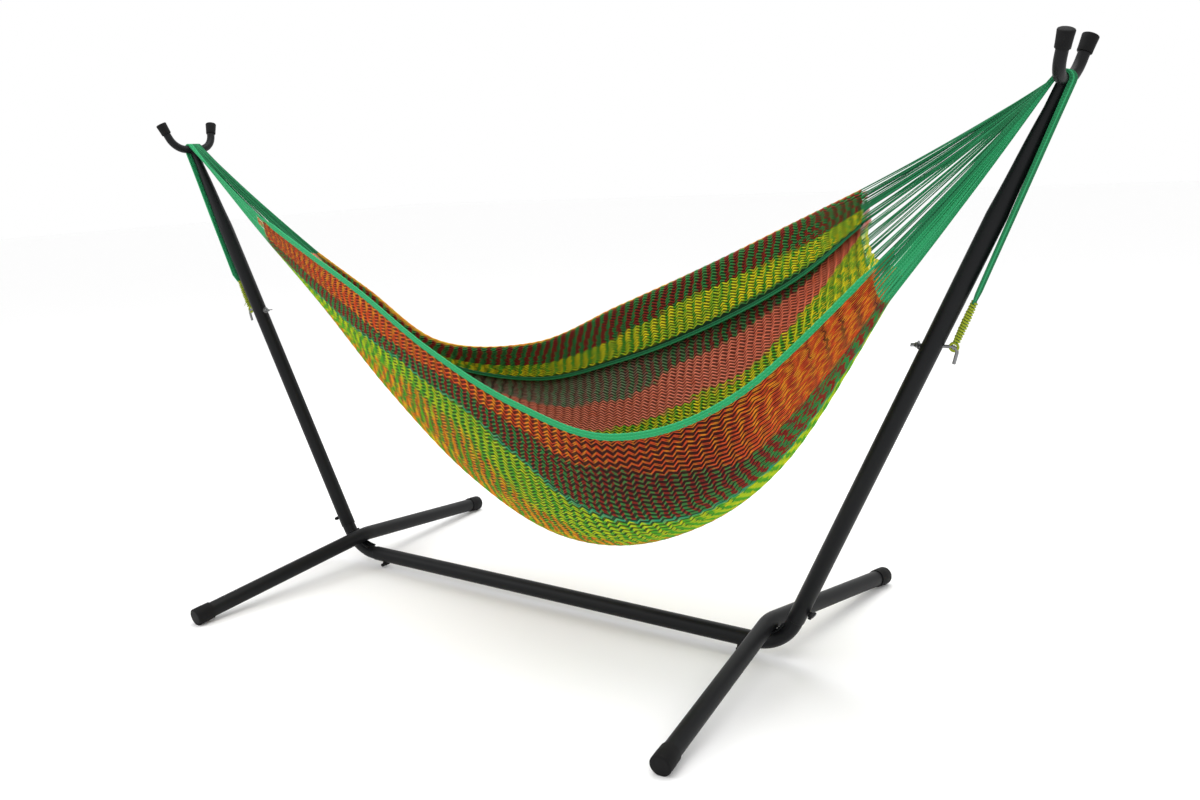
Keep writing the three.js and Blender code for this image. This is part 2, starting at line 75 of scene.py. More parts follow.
# One socket of a node tree. Sums and products of wires add their own nodes.
class Wire:
    def __init__(self, tree, socket=None):
        self.tree = tree
        self.socket = socket

    def node(self, kind, settings=None, inputs=None, out=0):
        made = self.tree.nodes.new(kind)
        for name, value in (settings or {}).items():
            setattr(made, name, value)
        for key, value in (inputs or {}).items():
            if isinstance(value, Wire):
                self.tree.links.new(value.socket, made.inputs[key])
            else:
                made.inputs[key].default_value = value
        return Wire(self.tree, made.outputs[out])

    def maths(self, operation, *values):
        return self.node("ShaderNodeMath", {"operation": operation}, dict(enumerate(values)))

    def __add__(self, other):
        return self.maths("ADD", self, other)

    def __radd__(self, other):
        return self.maths("ADD", other, self)

    def __sub__(self, other):
        return self.maths("SUBTRACT", self, other)

    def __rsub__(self, other):
        return self.maths("SUBTRACT", other, self)

    def __mul__(self, other):
        return self.maths("MULTIPLY", self, other)

    def __rmul__(self, other):
        return self.maths("MULTIPLY", other, self)

    def wave(self):
        return self.maths("SINE", self)

    def clamp(self):
        return self.node("ShaderNodeClamp", None, {0: self})

    def ease(self, low, high):
        settings = {"interpolation_type": "SMOOTHSTEP"}
        return self.node("ShaderNodeMapRange", settings, {0: self, 1: low, 2: high})

    def mix(self, first, second):  # this wire as the share of the second colour
        inputs = {0: self, 6: first, 7: second}
        return self.node("ShaderNodeMix", {"data_type": "RGBA"}, inputs, 2)

    def noise(self, scale, detail=2.0, place=None):
        inputs = {"Scale": scale, "Detail": detail}
        if place is not None:
            inputs["Vector"] = place
        return self.node("ShaderNodeTexNoise", None, inputs)

    def attribute(self, name):
        return self.node("ShaderNodeAttribute", {"attribute_name": name}, None, 2)

    def vector(self, x, y, z):
        return self.node("ShaderNodeCombineXYZ", None, {0: x, 1: y, 2: z})


def rgba(color):
    return (*color, 1.0)


# A material whose shader starts from plain values; paint() adds what varies over the surface.
def newMaterial(name, color, roughness, paint, metallic=0.0, **plain):
    material = bpy.data.materials.new(name)
    material.use_nodes = True
    material.diffuse_color = rgba(color)
    tree = material.node_tree
    shader = tree.nodes["Principled BSDF"]
    shader.inputs["Base Color"].default_value = rgba(color)
    shader.inputs["Roughness"].default_value = roughness
    shader.inputs["Metallic"].default_value = metallic
    for socket, value in plain.items():
        shader.inputs[socket.replace("_", " ")].default_value = value
    start = Wire(tree)
    place = start.node("ShaderNodeTexCoord", None, None, 3)
    for socket, wire in paint(start, place).items():
        tree.links.new(wire.socket, shader.inputs[socket])
    return material


def bump(start, height, distance, strength=1.0):
    inputs = {"Height": height, "Distance": distance, "Strength": strength}
    return start.node("ShaderNodeBump", None, inputs)


coatLook = {"color": (0.0055, 0.006, 0.0068), "dust": (0.024, 0.0245, 0.025), "peel": 900.0, "scuff": 9.0}


def powderCoat():
    def paint(start, place):
        cloud = start.noise(coatLook["scuff"], 5.0, place)
        grain = start.noise(coatLook["peel"], 1.0, place)
        facing = start.node("ShaderNodeNewGeometry", None, None, 1)
        height = start.node("ShaderNodeSeparateXYZ", None, {0: facing}, 2)
        dust = cloud.ease(0.45, 0.8) * height.ease(0.2, 1.0) * 0.35
        fleck = start.noise(420.0, 2.0, place).ease(0.68, 0.76) * 0.25
        return {
            "Base Color": (dust + fleck).clamp().mix(rgba(coatLook["color"]), rgba(coatLook["dust"])),
            "Roughness": 0.36 + 0.16 * cloud + 0.05 * grain,
            "Normal": bump(start, grain, 0.00012, 0.5),
        }
    return newMaterial("satin_powder_coat", coatLook["color"], 0.45, paint, Specular_IOR_Level=0.16)


def mouldedBlack(name, color, roughness, grainSize):
    def paint(start, place):
        grain = start.noise(grainSize, 3.0, place)
        wear = start.noise(38.0, 4.0, place).ease(0.55, 0.8)
        worn = tuple(2.4 * channel + 0.005 for channel in color)
        return {
            "Base Color": (wear * 0.55).mix(rgba(color), rgba(worn)),
            "Roughness": roughness + 0.18 * wear + 0.06 * grain,
            "Normal": bump(start, grain, 0.0002, 0.6),
        }
    return newMaterial(name, color, roughness, paint, Specular_IOR_Level=0.14)


def zincPlate():
    color = (0.20, 0.205, 0.21)

    def paint(start, place):
        streak = start.noise(70.0, 4.0, place)
        spot = start.noise(260.0, 2.0, place).ease(0.6, 0.72)
        dull = (streak.ease(0.35, 0.75) * 0.6 + spot * 0.2).clamp()
        return {
            "Base Color": dull.mix(rgba(color), rgba((0.17, 0.17, 0.16))),
            "Roughness": 0.24 + 0.26 * streak,
            "Normal": bump(start, streak, 0.00008, 0.5),
        }
    return newMaterial("zinc_plate", color, 0.36, paint, 0.95)


# String along its own length: "run" is the distance along it and "shade" its own chance value.
def stringMaterial(name, dark, light, pale, twist=0.006):
    def paint(start, place):
        run = start.attribute("run")
        shade = start.attribute("shade")
        lay = (run * (2 * math.pi / twist) + shade * 40.0).wave()
        cloud = start.noise(24.0, 3.0, place)
        body = (shade * 0.75 + cloud * 0.5 - 0.15).clamp().mix(rgba(dark), rgba(light))
        sheen = (lay.ease(0.3, 1.0) * 0.35 + shade.ease(0.9, 1.0) * 0.5).clamp()
        return {
            "Base Color": sheen.mix(body, rgba(pale)),
            "Roughness": 0.62 + 0.2 * cloud,
            "Normal": bump(start, lay, 0.0004, 0.5),
        }
    middle = tuple((a + b) / 2 for a, b in zip(dark, light))
    return newMaterial(name, middle, 0.7, paint, Sheen_Weight=0.04, Specular_IOR_Level=0.2)


def labelCloth():
    color = (0.47, 0.43, 0.34)

    def paint(start, place):
        parts = [start.node("ShaderNodeSeparateXYZ", None, {0: place}, axis) for axis in (1, 2)]
        weave = (parts[0] * 5200.0).wave() * (parts[1] * 5200.0).wave()
        soil = start.noise(60.0, 3.0, place)
        return {
            "Base Color": soil.mix(rgba(color), rgba((0.36, 0.33, 0.26))),
            "Roughness": 0.75 + 0.1 * soil,
            "Normal": bump(start, weave, 0.0003, 0.7),
        }
    return newMaterial("blank_label", color, 0.8, paint)


# Net colours, from the near edge to the far edge as woven.
netLook = {
    "orange": (0.70, 0.085, 0.012), "amber": (0.80, 0.27, 0.012), "brick": (0.27, 0.018, 0.008),
    "wine": (0.12, 0.010, 0.007), "leaf": (0.024, 0.26, 0.055), "grass": (0.085, 0.40, 0.020),
    "lime": (0.44, 0.60, 0.012), "yellow": (0.84, 0.72, 0.010), "teal": (0.018, 0.33, 0.17),
    "salmon": (0.86, 0.24, 0.145), "grey": (0.34, 0.33, 0.25), "pine": (0.010, 0.10, 0.035),
}
# How often the dyed marks come round along the yarn, and how far one yarn's marks slip past the next one's.
netDye = {"rib": 2 * math.pi / 0.026, "lean": 2 * math.pi / 0.034, "far": 2 * math.pi / 0.036, "loose": 1.6}


# depth scales all the net's colours: 1.0 for the lit yarns, and a lower value gives a darker copy that is
# painted shade
def netMaterial(name, depth):
    def paint(start, place):
        tone = {key: rgba(tuple(depth * channel for channel in value)) for key, value in netLook.items()}
        band = start.attribute("band")
        run = start.attribute("run")
        girth = start.attribute("girth")
        shade = start.attribute("shade")
        weft = start.attribute("weft")
        flow = start.vector(run * 3.0, girth * 9.0, weft * 2.0)
        drift = start.noise(1.6, 2.0, flow)
        streak = start.noise(1.0, 3.0, start.vector(run * 22.0 + girth * 30.0, girth * 26.0, shade * 0.7))
        fleck = start.noise(1.0, 1.0, start.vector(run * 60.0, shade * 37.0, girth * 8.0))
        ending = run.ease(2.10, 2.36) + (1 - run.ease(0.10, 0.34))
        loose = (shade - 0.5) * (netDye["loose"] + 7.0 * ending)
        slant = 1 - run.ease(0.6, 1.5)  # the dye marks lean at the left and stand square in the middle
        rib = (run * netDye["rib"] + girth * (18.0 + 60.0 * slant) + drift * 6.0 + loose).wave()
        lean = (run * netDye["lean"] + girth * (16.0 + 85.0 * slant) + drift * 8.0 + loose).wave()
        far = (run * netDye["far"] + girth * 30.0 + drift * 6.0 + loose).wave()
        broken = fleck.ease(0.42, 0.62)

        # each band's own pattern
        orange = (lean * 0.8 + (streak - 0.5) * 1.6).ease(-0.3, 0.7).mix(tone["orange"], tone["amber"])
        orange = (far.ease(0.1, 0.9) * 0.55 + broken * 0.12).mix(orange, tone["brick"])
        ribbed = (rib * 0.8 + (fleck - 0.5) * 1.8).ease(-0.30, 0.30)
        stripe = ribbed.mix(tone["brick"], tone["leaf"])
        stripe = (broken * 0.25).mix(stripe, tone["wine"])
        fresh = (lean + (streak - 0.5) * 1.2).ease(-0.5, 0.5)
        lime = fresh.mix(tone["grass"], tone["lime"])
        lime = (fleck.ease(0.54, 0.7) * 0.5).mix(lime, tone["yellow"])
        mixed = (lean * 0.9 + (fleck - 0.5) * 2.6).ease(-0.4, 0.4).mix(tone["grass"], tone["amber"])
        mixed = (streak.ease(0.5, 0.66) * 0.5).mix(mixed, tone["yellow"])
        mixed = (rib.ease(0.3, 0.9) * 0.55).mix(mixed, tone["brick"])
        rosy = (far.ease(0.3, 1.0) * 0.35).mix(tone["salmon"], tone["brick"])
        rosy = (fleck.ease(0.56, 0.72) * 0.4 + run.ease(1.7, 2.3) * 0.35).clamp().mix(rosy, tone["orange"])
        turned = (far * 0.8 + (fleck - 0.5) * 1.8).ease(-0.30, 0.30).mix(tone["brick"], tone["leaf"])
        turned = (broken * 0.2).mix(turned, tone["wine"])
        shaded = ((1 - run.ease(1.2, 1.9)) * 0.45 + broken * 0.2).mix(turned, tone["grey"])
        bright = (far * 0.9 + (fleck - 0.5) * 1.3).ease(0.0, 0.6).mix(tone["yellow"], tone["grass"])
        bright = (streak.ease(0.42, 0.62) * 0.75).mix(bright, fresh.mix(tone["grass"], tone["lime"]))
        ridge = (broken * 0.6).mix(tone["amber"], tone["yellow"])
        hem = (fleck * 0.8).mix(tone["pine"], tone["leaf"])

        edge = band + (shade - 0.5) * 0.10 + (drift - 0.5) * 0.16
        bands = [
            (1.0, stripe), (2.0, lime), (3.0, mixed), (4.0, bright), (5.0, rosy), (6.0, shaded),
            (6.93, ridge), (7.30, turned), (8.0, bright), (9.0, hem),
        ]
        color = orange
        for level, pattern in bands:
            color = edge.ease(level - 0.03, level + 0.03).mix(color, pattern)
        line = edge.ease(1.94, 1.97) * (1 - edge.ease(2.05, 2.09)) * 0.8
        color = line.mix(color, tone["teal"])
        # the near side is stretched open towards the right, and the shade inside shows between its rows
        opened = run.ease(1.45, 1.75) * (1 - run.ease(2.05, 2.3)) * (1 - edge.ease(1.3, 2.0))
        color = (opened * (0.95 - 0.7 * depth)).mix(color, tone["wine"])
        twist = (run * 2600.0 + shade * 30.0).wave()
        return {
            "Base Color": color,
            "Roughness": 0.66 + 0.22 * fleck,
            "Normal": bump(start, twist, 0.0003, 0.5),
        }
    middle = tuple(depth * channel for channel in (0.5, 0.3, 0.03))
    return newMaterial(name, middle, 0.75, paint, Sheen_Weight=0.03, Specular_IOR_Level=0.15)


coat = powderCoat()
rubber = mouldedBlack("moulded_rubber", (0.0045, 0.0045, 0.0048), 0.6, 700.0)
knobPlastic = mouldedBlack("moulded_knob_plastic", (0.006, 0.006, 0.0066), 0.42, 1100.0)
zinc = zincPlate()
yarn = netMaterial("net_yarn", 1.0)
# the net's colours darkened to 0.16: painted shade for the gaps between the yarns
shadedNetYarn = netMaterial("net_yarn_painted_shade", 0.16)
greenString = stringMaterial("green_string", (0.003, 0.070, 0.026), (0.012, 0.22, 0.075), (0.04, 0.36, 0.16))
brightString = stringMaterial("bright_green_string", (0.010, 0.24, 0.080), (0.022, 0.36, 0.13),
                              (0.08, 0.48, 0.24))
edgeString = stringMaterial("edge_green_string", (0.014, 0.28, 0.095), (0.030, 0.40, 0.15),
                            (0.07, 0.50, 0.24), 0.011)
limeString = stringMaterial("lime_whipping", (0.15, 0.20, 0.006), (0.34, 0.42, 0.02),
                            (0.50, 0.56, 0.06), 0.003)
label = labelCloth()
print("materials ready")


def newPiece(name, verts, faces, material, attributes=None, edges=()):
    mesh = bpy.data.meshes.new(name)
    mesh.from_pydata([tuple(v) for v in verts], list(edges), [tuple(f) for f in faces])
    for key, values in (attributes or {}).items():
        values = np.asarray(values, np.float32)
        kind, field = ("FLOAT_VECTOR", "vector") if values.ndim == 2 else ("FLOAT", "value")
        mesh.attributes.new(key, kind, "POINT").data.foreach_set(field, values.ravel())
    if material is not None:
        mesh.materials.append(material)
    if len(mesh.polygons):
        mesh.polygons.foreach_set("use_smooth", np.ones(len(mesh.polygons), bool))
    mesh.update()
    piece = bpy.data.objects.new(name, mesh)
    bpy.context.scene.collection.objects.link(piece)
    return piece


def joined(name, parts, material):  # several (verts, faces) as one piece
    verts = []
    faces = []
    for partVerts, partFaces in parts:
        base = len(verts)
        verts.extend(partVerts)
        faces.extend([tuple(base + i for i in face) for face in partFaces])
    return newPiece(name, verts, faces, material)


def applyModifiers(piece):
    graph = bpy.context.evaluated_depsgraph_get()
    mesh = bpy.data.meshes.new_from_object(piece.evaluated_get(graph))
    piece.modifiers.clear()
    old = piece.data
    mesh.name = old.name
    piece.data = mesh
    bpy.data.meshes.remove(old)
    return piece


# Gives a piece crisp edges, and has it stand for a node: the node is hidden and the piece joins the given
# body.
def standIn(piece, node, body, angle=50):
    piece.data.set_sharp_from_angle(angle=math.radians(angle))
    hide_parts(node)
    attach(piece, body)


def outwardFaces(piece):
    work = bmesh.new()
    work.from_mesh(piece.data)
    bmesh.ops.recalc_face_normals(work, faces=work.faces)
    work.to_mesh(piece.data)
    work.free()
    return piece


def stackFaces(rings, count):  # the faces round a stack of rings, with both ends closed
    faces = []
    for i in range(rings - 1):
        for j in range(count):
            k = (j + 1) % count
            faces.append((i * count + j, i * count + k, (i + 1) * count + k, (i + 1) * count + j))
    last = (rings - 1) * count
    faces.append(tuple(reversed(range(count))))
    faces.append(tuple(last + j for j in range(count)))
    return faces


def sheetFaces(rows, columns):  # the faces of two layers of a grid, closed round the rim
    size = rows * columns
    grid = np.arange(size).reshape(rows, columns)
    quads = np.stack([grid[:-1, :-1], grid[1:, :-1], grid[1:, 1:], grid[:-1, 1:]], -1).reshape(-1, 4)
    faces = [tuple(q) for q in quads] + [tuple(q[::-1] + size) for q in quads]
    rim = np.concatenate([grid[:, 0], grid[-1, 1:], grid[-2::-1, -1], grid[0, -2::-1]])
    faces += [(second, first, first + size, second + size) for first, second in zip(rim[:-1], rim[1:])]
    return faces


# Yarns swept along their guides: each guide is a chain of edges with its radius and sideways sway.
def yarnTree():
    tree = bpy.data.node_groups.new("sweep_yarn", "GeometryNodeTree")
    for name, kind in (("Guides", "NodeSocketGeometry"), ("Sides", "NodeSocketInt"),
                       ("Sway", "NodeSocketFloat"), ("Finish", "NodeSocketMaterial")):
        tree.interface.new_socket(name, in_out="INPUT", socket_type=kind)
    tree.interface.new_socket("Yarns", in_out="OUTPUT", socket_type="NodeSocketGeometry")
    start = Wire(tree)
    given = tree.nodes.new("NodeGroupInput")
    guides, sides, sway, finish = (Wire(tree, given.outputs[i]) for i in range(4))
    named = "GeometryNodeInputNamedAttribute"
    swing = start.node(named, {"data_type": "FLOAT_VECTOR"}, {"Name": "sway"})
    radius = start.node(named, {"data_type": "FLOAT"}, {"Name": "radius"})
    offset = start.node("ShaderNodeVectorMath", {"operation": "SCALE"}, {0: swing, "Scale": sway})
    moved = start.node("GeometryNodeSetPosition", None, {"Geometry": guides, "Offset": offset})
    curve = start.node("GeometryNodeMeshToCurve", None, {0: moved})
    section = start.node("GeometryNodeCurvePrimitiveCircle", None, {"Resolution": sides, "Radius": 1.0})
    inputs = {"Curve": curve, "Profile Curve": section, "Scale": radius, "Fill Caps": True}
    swept = start.node("GeometryNodeCurveToMesh", None, inputs)
    smooth = start.node("GeometryNodeSetShadeSmooth", None, {0: swept})
    real = start.node("GeometryNodeRealizeInstances", None, {0: smooth})
    done = start.node("GeometryNodeSetMaterial", None, {"Geometry": real, "Material": finish})
    out = tree.nodes.new("NodeGroupOutput")
    tree.links.new(done.socket, out.inputs[0])
    return tree


sweepYarn = yarnTree()


# guides: a list of dictionaries with points (n, 3), radius, and further values along each guide.
def sweptYarns(name, guides, material, sides=5, sway=0.0):
    counts = [len(guide["points"]) for guide in guides]
    points = np.concatenate([guide["points"] for guide in guides])
    edges = []
    base = 0
    for count in counts:
        edges.extend((base + i, base + i + 1) for i in range(count - 1))
        base += count
    values = {}
    for key in guides[0]:
        if key != "points":
            shape = (3,) if key == "sway" else ()
            parts = [np.broadcast_to(guide[key], (count, *shape)) for guide, count in zip(guides, counts)]
            values[key] = np.concatenate(parts)
    piece = newPiece(name, points, [], None, values, edges)
    modifier = piece.modifiers.new("sweep", "NODES")
    modifier.node_group = sweepYarn
    ids = {item.name: item.identifier for item in sweepYarn.interface.items_tree if item.in_out == "INPUT"}
    modifier[ids["Sides"]] = sides
    modifier[ids["Sway"]] = sway
    modifier[ids["Finish"]] = material
    applyModifiers(piece)
    for spare in ("sway", "radius"):
        if spare in piece.data.attributes:
            piece.data.attributes.remove(piece.data.attributes[spare])
    return piece


def distances(points):
    steps = np.linalg.norm(np.diff(points, axis=0), axis=1)
    return np.concatenate([[0.0], np.cumsum(steps)])


def unit(vectors):
    vectors = np.asarray(vectors, float)
    return vectors / np.maximum(np.linalg.norm(vectors, axis=-1, keepdims=True), 1e-9)


# A round section along points, each with its radius, closed at both ends.
def tubeAlong(points, radii, segments=48):
    points = np.asarray(points, float)
    radii = np.broadcast_to(radii, len(points))
    tangents = unit(np.gradient(points, axis=0))
    side = unit(np.cross(tangents[0], upwards if abs(tangents[0][2]) < 0.9 else np.array([0.0, 1.0, 0.0])))
    verts = []
    for point, tangent, radius in zip(points, tangents, radii):
        side = unit(side - tangent * np.dot(side, tangent))
        other = np.cross(tangent, side)
        angles = 2 * np.pi * np.arange(segments) / segments
        verts.append(point + radius * (np.cos(angles)[:, None] * side + np.sin(angles)[:, None] * other))
    return list(np.concatenate(verts)), stackFaces(len(points), segments)


# Stand sizes, as in the frame: metres, with the right end described and the left end turned from it.
stand = {
    "tube": 0.0225, "elbow": 0.0206, "spineHeight": 0.042, "cornerX": 0.786, "armTilt": math.radians(25.4),
    "armReach": 1.487, "sleeveStart": 0.088, "elbowBend": 0.128, "spigot": 0.130, "neck": 0.0126,
    "neckLength": 0.060, "swage": 0.230, "footHalf": 0.618, "footEndX": 0.809, "footBend": 0.160,
    "footNesting": 0.0036, "yoke": 0.0125, "yokeFlat": 0.026, "yokeBend": 0.060,
    "yokeTurn": math.radians(72), "prong": 0.046, "yokeLean": math.radians(-10), "footFloor": 0.0244,
    "weld": 0.0035, "yokeWeld": 0.0020,
}
endTurns = {"right": np.eye(3), "left": np.diag([-1.0, -1.0, 1.0])}
tilt = stand["armTilt"]
armAlong = np.array([math.sin(tilt), 0.0, math.cos(tilt)])
armOut = np.array([math.cos(tilt), 0.0, -math.sin(tilt)])
corner = np.array([stand["cornerX"], 0.0, stand["spineHeight"]])


def turned(parts, side):
    turn = endTurns[side]
    return [([turn @ np.asarray(v) for v in verts], faces) for verts, faces in parts]


# Points along legs and bends in a plane: ahead and aside are the plane's two directions.
def routed(start, ahead, aside, moves, steps=18):
    point = np.array(start, float)
    angle = 0.0
    points = [point.copy()]

    def heading(turn):
        return math.cos(turn) * ahead + math.sin(turn) * aside
    for kind, size, turn in moves:
        if kind == "leg":
            point = point + heading(angle) * size
            points.append(point.copy())
            continue
        step = turn / steps
        for _ in range(steps):
            angle += step / 2
            point = point + heading(angle) * 2 * size * math.sin(abs(step) / 2)
            angle += step / 2
            points.append(point.copy())
    return np.array(points)


# A bead of weld around a path: small overlapping scales.
def weldBead(path, radius):
    path = np.asarray(path)
    ripple = radius * (1 + 0.16 * np.sin(np.arange(len(path)) * 1.7))
    return tubeAlong(path, ripple, 10)


spineSleeve = stand["cornerX"] - stand["sleeveStart"]


def tubeWithLips(start, end, radius):  # a straight cut tube with a rolled lip at both ends
    start = np.asarray(start, float)
    end = np.asarray(end, float)
    length = np.linalg.norm(end - start)
    ahead = (end - start) / length
    lip = [(0.0, 0.0016), (0.0003, 0.0005), (0.0008, 0.0), (0.002, 0.0)]  # along, and in from the wall
    stops = [along for along, _ in lip] + [length - along for along, _ in reversed(lip)]
    sizes = [radius - inset for _, inset in lip + lip[::-1]]
    return tubeAlong([start + ahead * s for s in stops], sizes)


def makeSpine():
    start, end = ((x, 0, stand["spineHeight"]) for x in (-spineSleeve, spineSleeve))
    spine = joined("spine_tube_smooth", [tubeWithLips(start, end, stand["tube"])], coat)
    standIn(spine, "spine_tube", "root")


def makeArm():
    top = stand["armReach"] - 0.004
    swageStart = top - stand["neckLength"] - stand["swage"]
    sleeve = stand["sleeveStart"]
    stops = [sleeve, sleeve + 0.0004, sleeve + 0.0012, swageStart - 0.01]
    sizes = [stand["tube"] - 0.0016, stand["tube"] - 0.0004, stand["tube"], stand["tube"]]
    for share in np.linspace(0, 1, 15):
        eased = share + 0.06 * math.sin(2 * math.pi * share)
        stops.append(swageStart + share * stand["swage"])
        sizes.append(stand["tube"] + (stand["neck"] - stand["tube"]) * eased)
    stops += [top - 0.012, top - 0.0085]
    sizes += [stand["neck"], stand["neck"]]
    return tubeAlong([corner + armAlong * s for s in stops], sizes)


def makeElbow():
    turn = math.pi / 2 - tilt
    straight = stand["sleeveStart"] + stand["spigot"] - stand["elbowBend"] * math.tan(turn / 2)
    start = corner - np.array([stand["sleeveStart"] + stand["spigot"], 0, 0])
    moves = [("leg", straight, 0), ("bend", stand["elbowBend"], turn), ("leg", straight, 0)]
    points = routed(start, np.array([1.0, 0, 0]), upwards, moves, 24)
    return tubeAlong(points, stand["elbow"])


bisector = (math.pi / 2 - tilt) / 2
nest = stand["elbowBend"] - stand["elbow"] - stand["tube"] - stand["footNesting"]
bendCenter = np.array([stand["cornerX"] - stand["elbowBend"] * math.tan(bisector), 0,
                       stand["spineHeight"] + stand["elbowBend"]])
footApex = bendCenter + nest * np.array([math.sin(bisector), 0, -math.cos(bisector)])
footBow = np.array([stand["footEndX"], 0, stand["footFloor"]]) - footApex
footSink = np.linalg.norm(footBow)
footDown = footBow / footSink


def footLine():
    angle = math.atan2(footSink, stand["footHalf"])
    leg = stand["footHalf"] / math.cos(angle) - stand["footBend"] * math.tan(angle)
    start = footApex + footDown * footSink - np.array([0, stand["footHalf"], 0])
    ahead = np.array([0.0, 1.0, 0.0])
    first = math.cos(angle) * ahead - math.sin(angle) * footDown
    aside = math.sin(angle) * ahead + math.cos(angle) * footDown
    moves = [("leg", leg, 0), ("bend", stand["footBend"], 2 * angle), ("leg", leg, 0)]
    return routed(start, first, aside, moves, 24)


def makeFootWelds():  # the two seams where the foot lies in the elbow's bend
    beads = []
    for sign in (-1, 1):
        angles = np.linspace(-0.42, 0.42, 40)
        path = []
        for angle in angles:
            swing = angle + bisector
            ring = stand["elbowBend"] - stand["elbow"] * 0.9
            middle = bendCenter + ring * np.array([math.sin(swing), 0, -math.cos(swing)])
            path.append(middle + np.array([0, sign * (0.0095 + 0.012 * abs(angle)), 0]))
        beads.append(weldBead(path, stand["weld"]))
    return beads


forkOrigin = corner + armAlong * stand["armReach"]
forkTilt = tilt + stand["yokeLean"]
forkUp = np.array([math.sin(forkTilt), 0.0, math.cos(forkTilt)])


def prongLine(sign):
    ahead = np.array([0.0, float(sign), 0.0])
    start = forkOrigin + ahead * stand["yokeFlat"]
    moves = [("bend", stand["yokeBend"], stand["yokeTurn"]), ("leg", stand["prong"], 0)]
    return routed(start, ahead, forkUp, moves, 16)


def makeYoke():
    points = np.concatenate([prongLine(-1)[::-1], prongLine(1)])
    return tubeAlong(points, stand["yoke"], 40)


def makeYokeWeld():  # a fillet round the arm's neck under the yoke
    angles = np.linspace(0, 2 * math.pi, 61)
    path = []
    for angle in angles:
        aside = math.sin(angle) * (stand["neck"] + 0.0008)
        outwards = math.cos(angle) * (stand["neck"] + 0.0004)
        drop = math.sqrt(max(stand["yoke"] ** 2 - min(abs(outwards), stand["yoke"] * 0.98) ** 2, 0.0))
        path.append(forkOrigin + armOut * outwards - armAlong * (drop + 0.0012) + np.array([0, aside, 0]))
    return weldBead(path, stand["yokeWeld"])


# Push-on caps: "end" is how far the cap's face stands past the tube's end.
capLook = {"yokeLength": 0.038, "footLength": 0.054, "end": 0.0043, "clear": 0.0004}


# A cap from its mouth along its direction: a rounded lip, its wall and a rounded face.
def capShape(mouth, direction, profile, segments=48):
    points = [np.asarray(mouth) + direction * along for along, _ in profile]
    return tubeAlong(points, [radius for _, radius in profile], segments)


def yokeCapProfile():  # flares towards its face
    inner = stand["yoke"] + capLook["clear"]
    length = capLook["yokeLength"]
    return [
        (0.0006, inner), (0.0, inner + 0.0012), (0.0004, inner + 0.0022), (0.0014, inner + 0.0027),
        (0.010, inner + 0.0030), (0.024, inner + 0.0038), (length - 0.0035, inner + 0.0046),
        (length - 0.0015, inner + 0.0036), (length - 0.0003, inner + 0.0012), (length, inner - 0.0012),
        (length, 0.004), (length, 0.0008),
    ]


def footCapProfile():  # straight, with one small step
    inner = stand["tube"] + capLook["clear"]
    length = capLook["footLength"]
    return [
        (0.0006, inner), (0.0, inner + 0.0008), (0.0003, inner + 0.0020), (0.0014, inner + 0.0025),
        (0.020, inner + 0.0027), (0.0215, inner + 0.0031), (0.030, inner + 0.0031),
        (length - 0.0040, inner + 0.0031), (length - 0.0018, inner + 0.0024),
        (length - 0.0004, inner + 0.0004), (length, inner - 0.0030), (length, 0.006), (length, 0.001),
    ]


def flattenBelow(shape, floor=0.0002):  # the sole's worn flat
    verts, faces = shape
    return [np.array([v[0], v[1], max(v[2], floor)]) for v in verts], faces


def makeTubes(side):
    shapes = {
        "arm": [makeArm()], "elbow": [makeElbow()],
        "foot": [tubeAlong(footLine(), stand["tube"]), *makeFootWelds()],
        "yoke": [makeYoke(), makeYokeWeld()],
    }
    for name, parts in shapes.items():
        piece = joined(f"{side}_{name}_smooth", turned(parts, side), coat)
        standIn(piece, f"{side}_{name}", "root")


def makeCaps(side):
    foot = footLine()
    places = {"front": -1, "back": 1} if side == "right" else {"front": 1, "back": -1}
    for place, sign in places.items():
        line = prongLine(sign)
        direction = unit(line[-1] - line[-2])
        mouth = line[-1] + direction * (capLook["end"] - capLook["yokeLength"])
        shape = capShape(mouth, direction, yokeCapProfile())
        cap = joined(f"{side}_{place}_yoke_cap_moulded", turned([shape], side), rubber)
        toe = foot[-1] if sign > 0 else foot[0]
        outwards = unit(toe - footApex)
        mouth = toe + outwards * (capLook["end"] - capLook["footLength"])
        shape = flattenBelow(capShape(mouth, outwards, footCapProfile()))
        shoe = joined(f"{side}_{place}_foot_cap_moulded", turned([shape], side), rubber)
        standIn(cap, f"{side}_{place}_yoke_cap", "root")
        standIn(shoe, f"{side}_{place}_foot_cap", "root")


makeSpine()
for side in ("left", "right"):
    makeTubes(side)
    makeCaps(side)
print("stand tubes and caps made")

# Knobs, studs, hook bolts, washers and wing nuts
knobLook = {"reach": 0.124, "half": 0.018, "lobe": 0.0068, "waist": 0.0053, "thick": 0.0082,
            "collar": 0.005, "standOff": 0.0008}


def knobOutline(count=72):
    points = []
    for i in range(count):
        angle = 2 * math.pi * i / count
        reach = knobLook["half"] * abs(math.cos(angle)) ** 0.9
        width = knobLook["waist"] + (knobLook["lobe"] - knobLook["waist"]) * abs(math.cos(angle))
        points.append((math.copysign(reach, math.cos(angle)), math.copysign(
            width * abs(math.sin(angle)) ** 0.62, math.sin(angle))))
    return points


# Layers of one outline, each at its own height and scale, closed top and bottom.
def layered(outline, layers, origin, ahead, aside, away):
    verts = []
    for height, scale, inset in layers:
        for x, y in outline:
            size = max(math.hypot(x, y), 1e-6)
            shrink = scale * max(1 - inset / size, 0.05)
            verts.append(origin + ahead * x * shrink + aside * y * shrink + away * height)
    return verts, stackFaces(len(layers), len(outline))


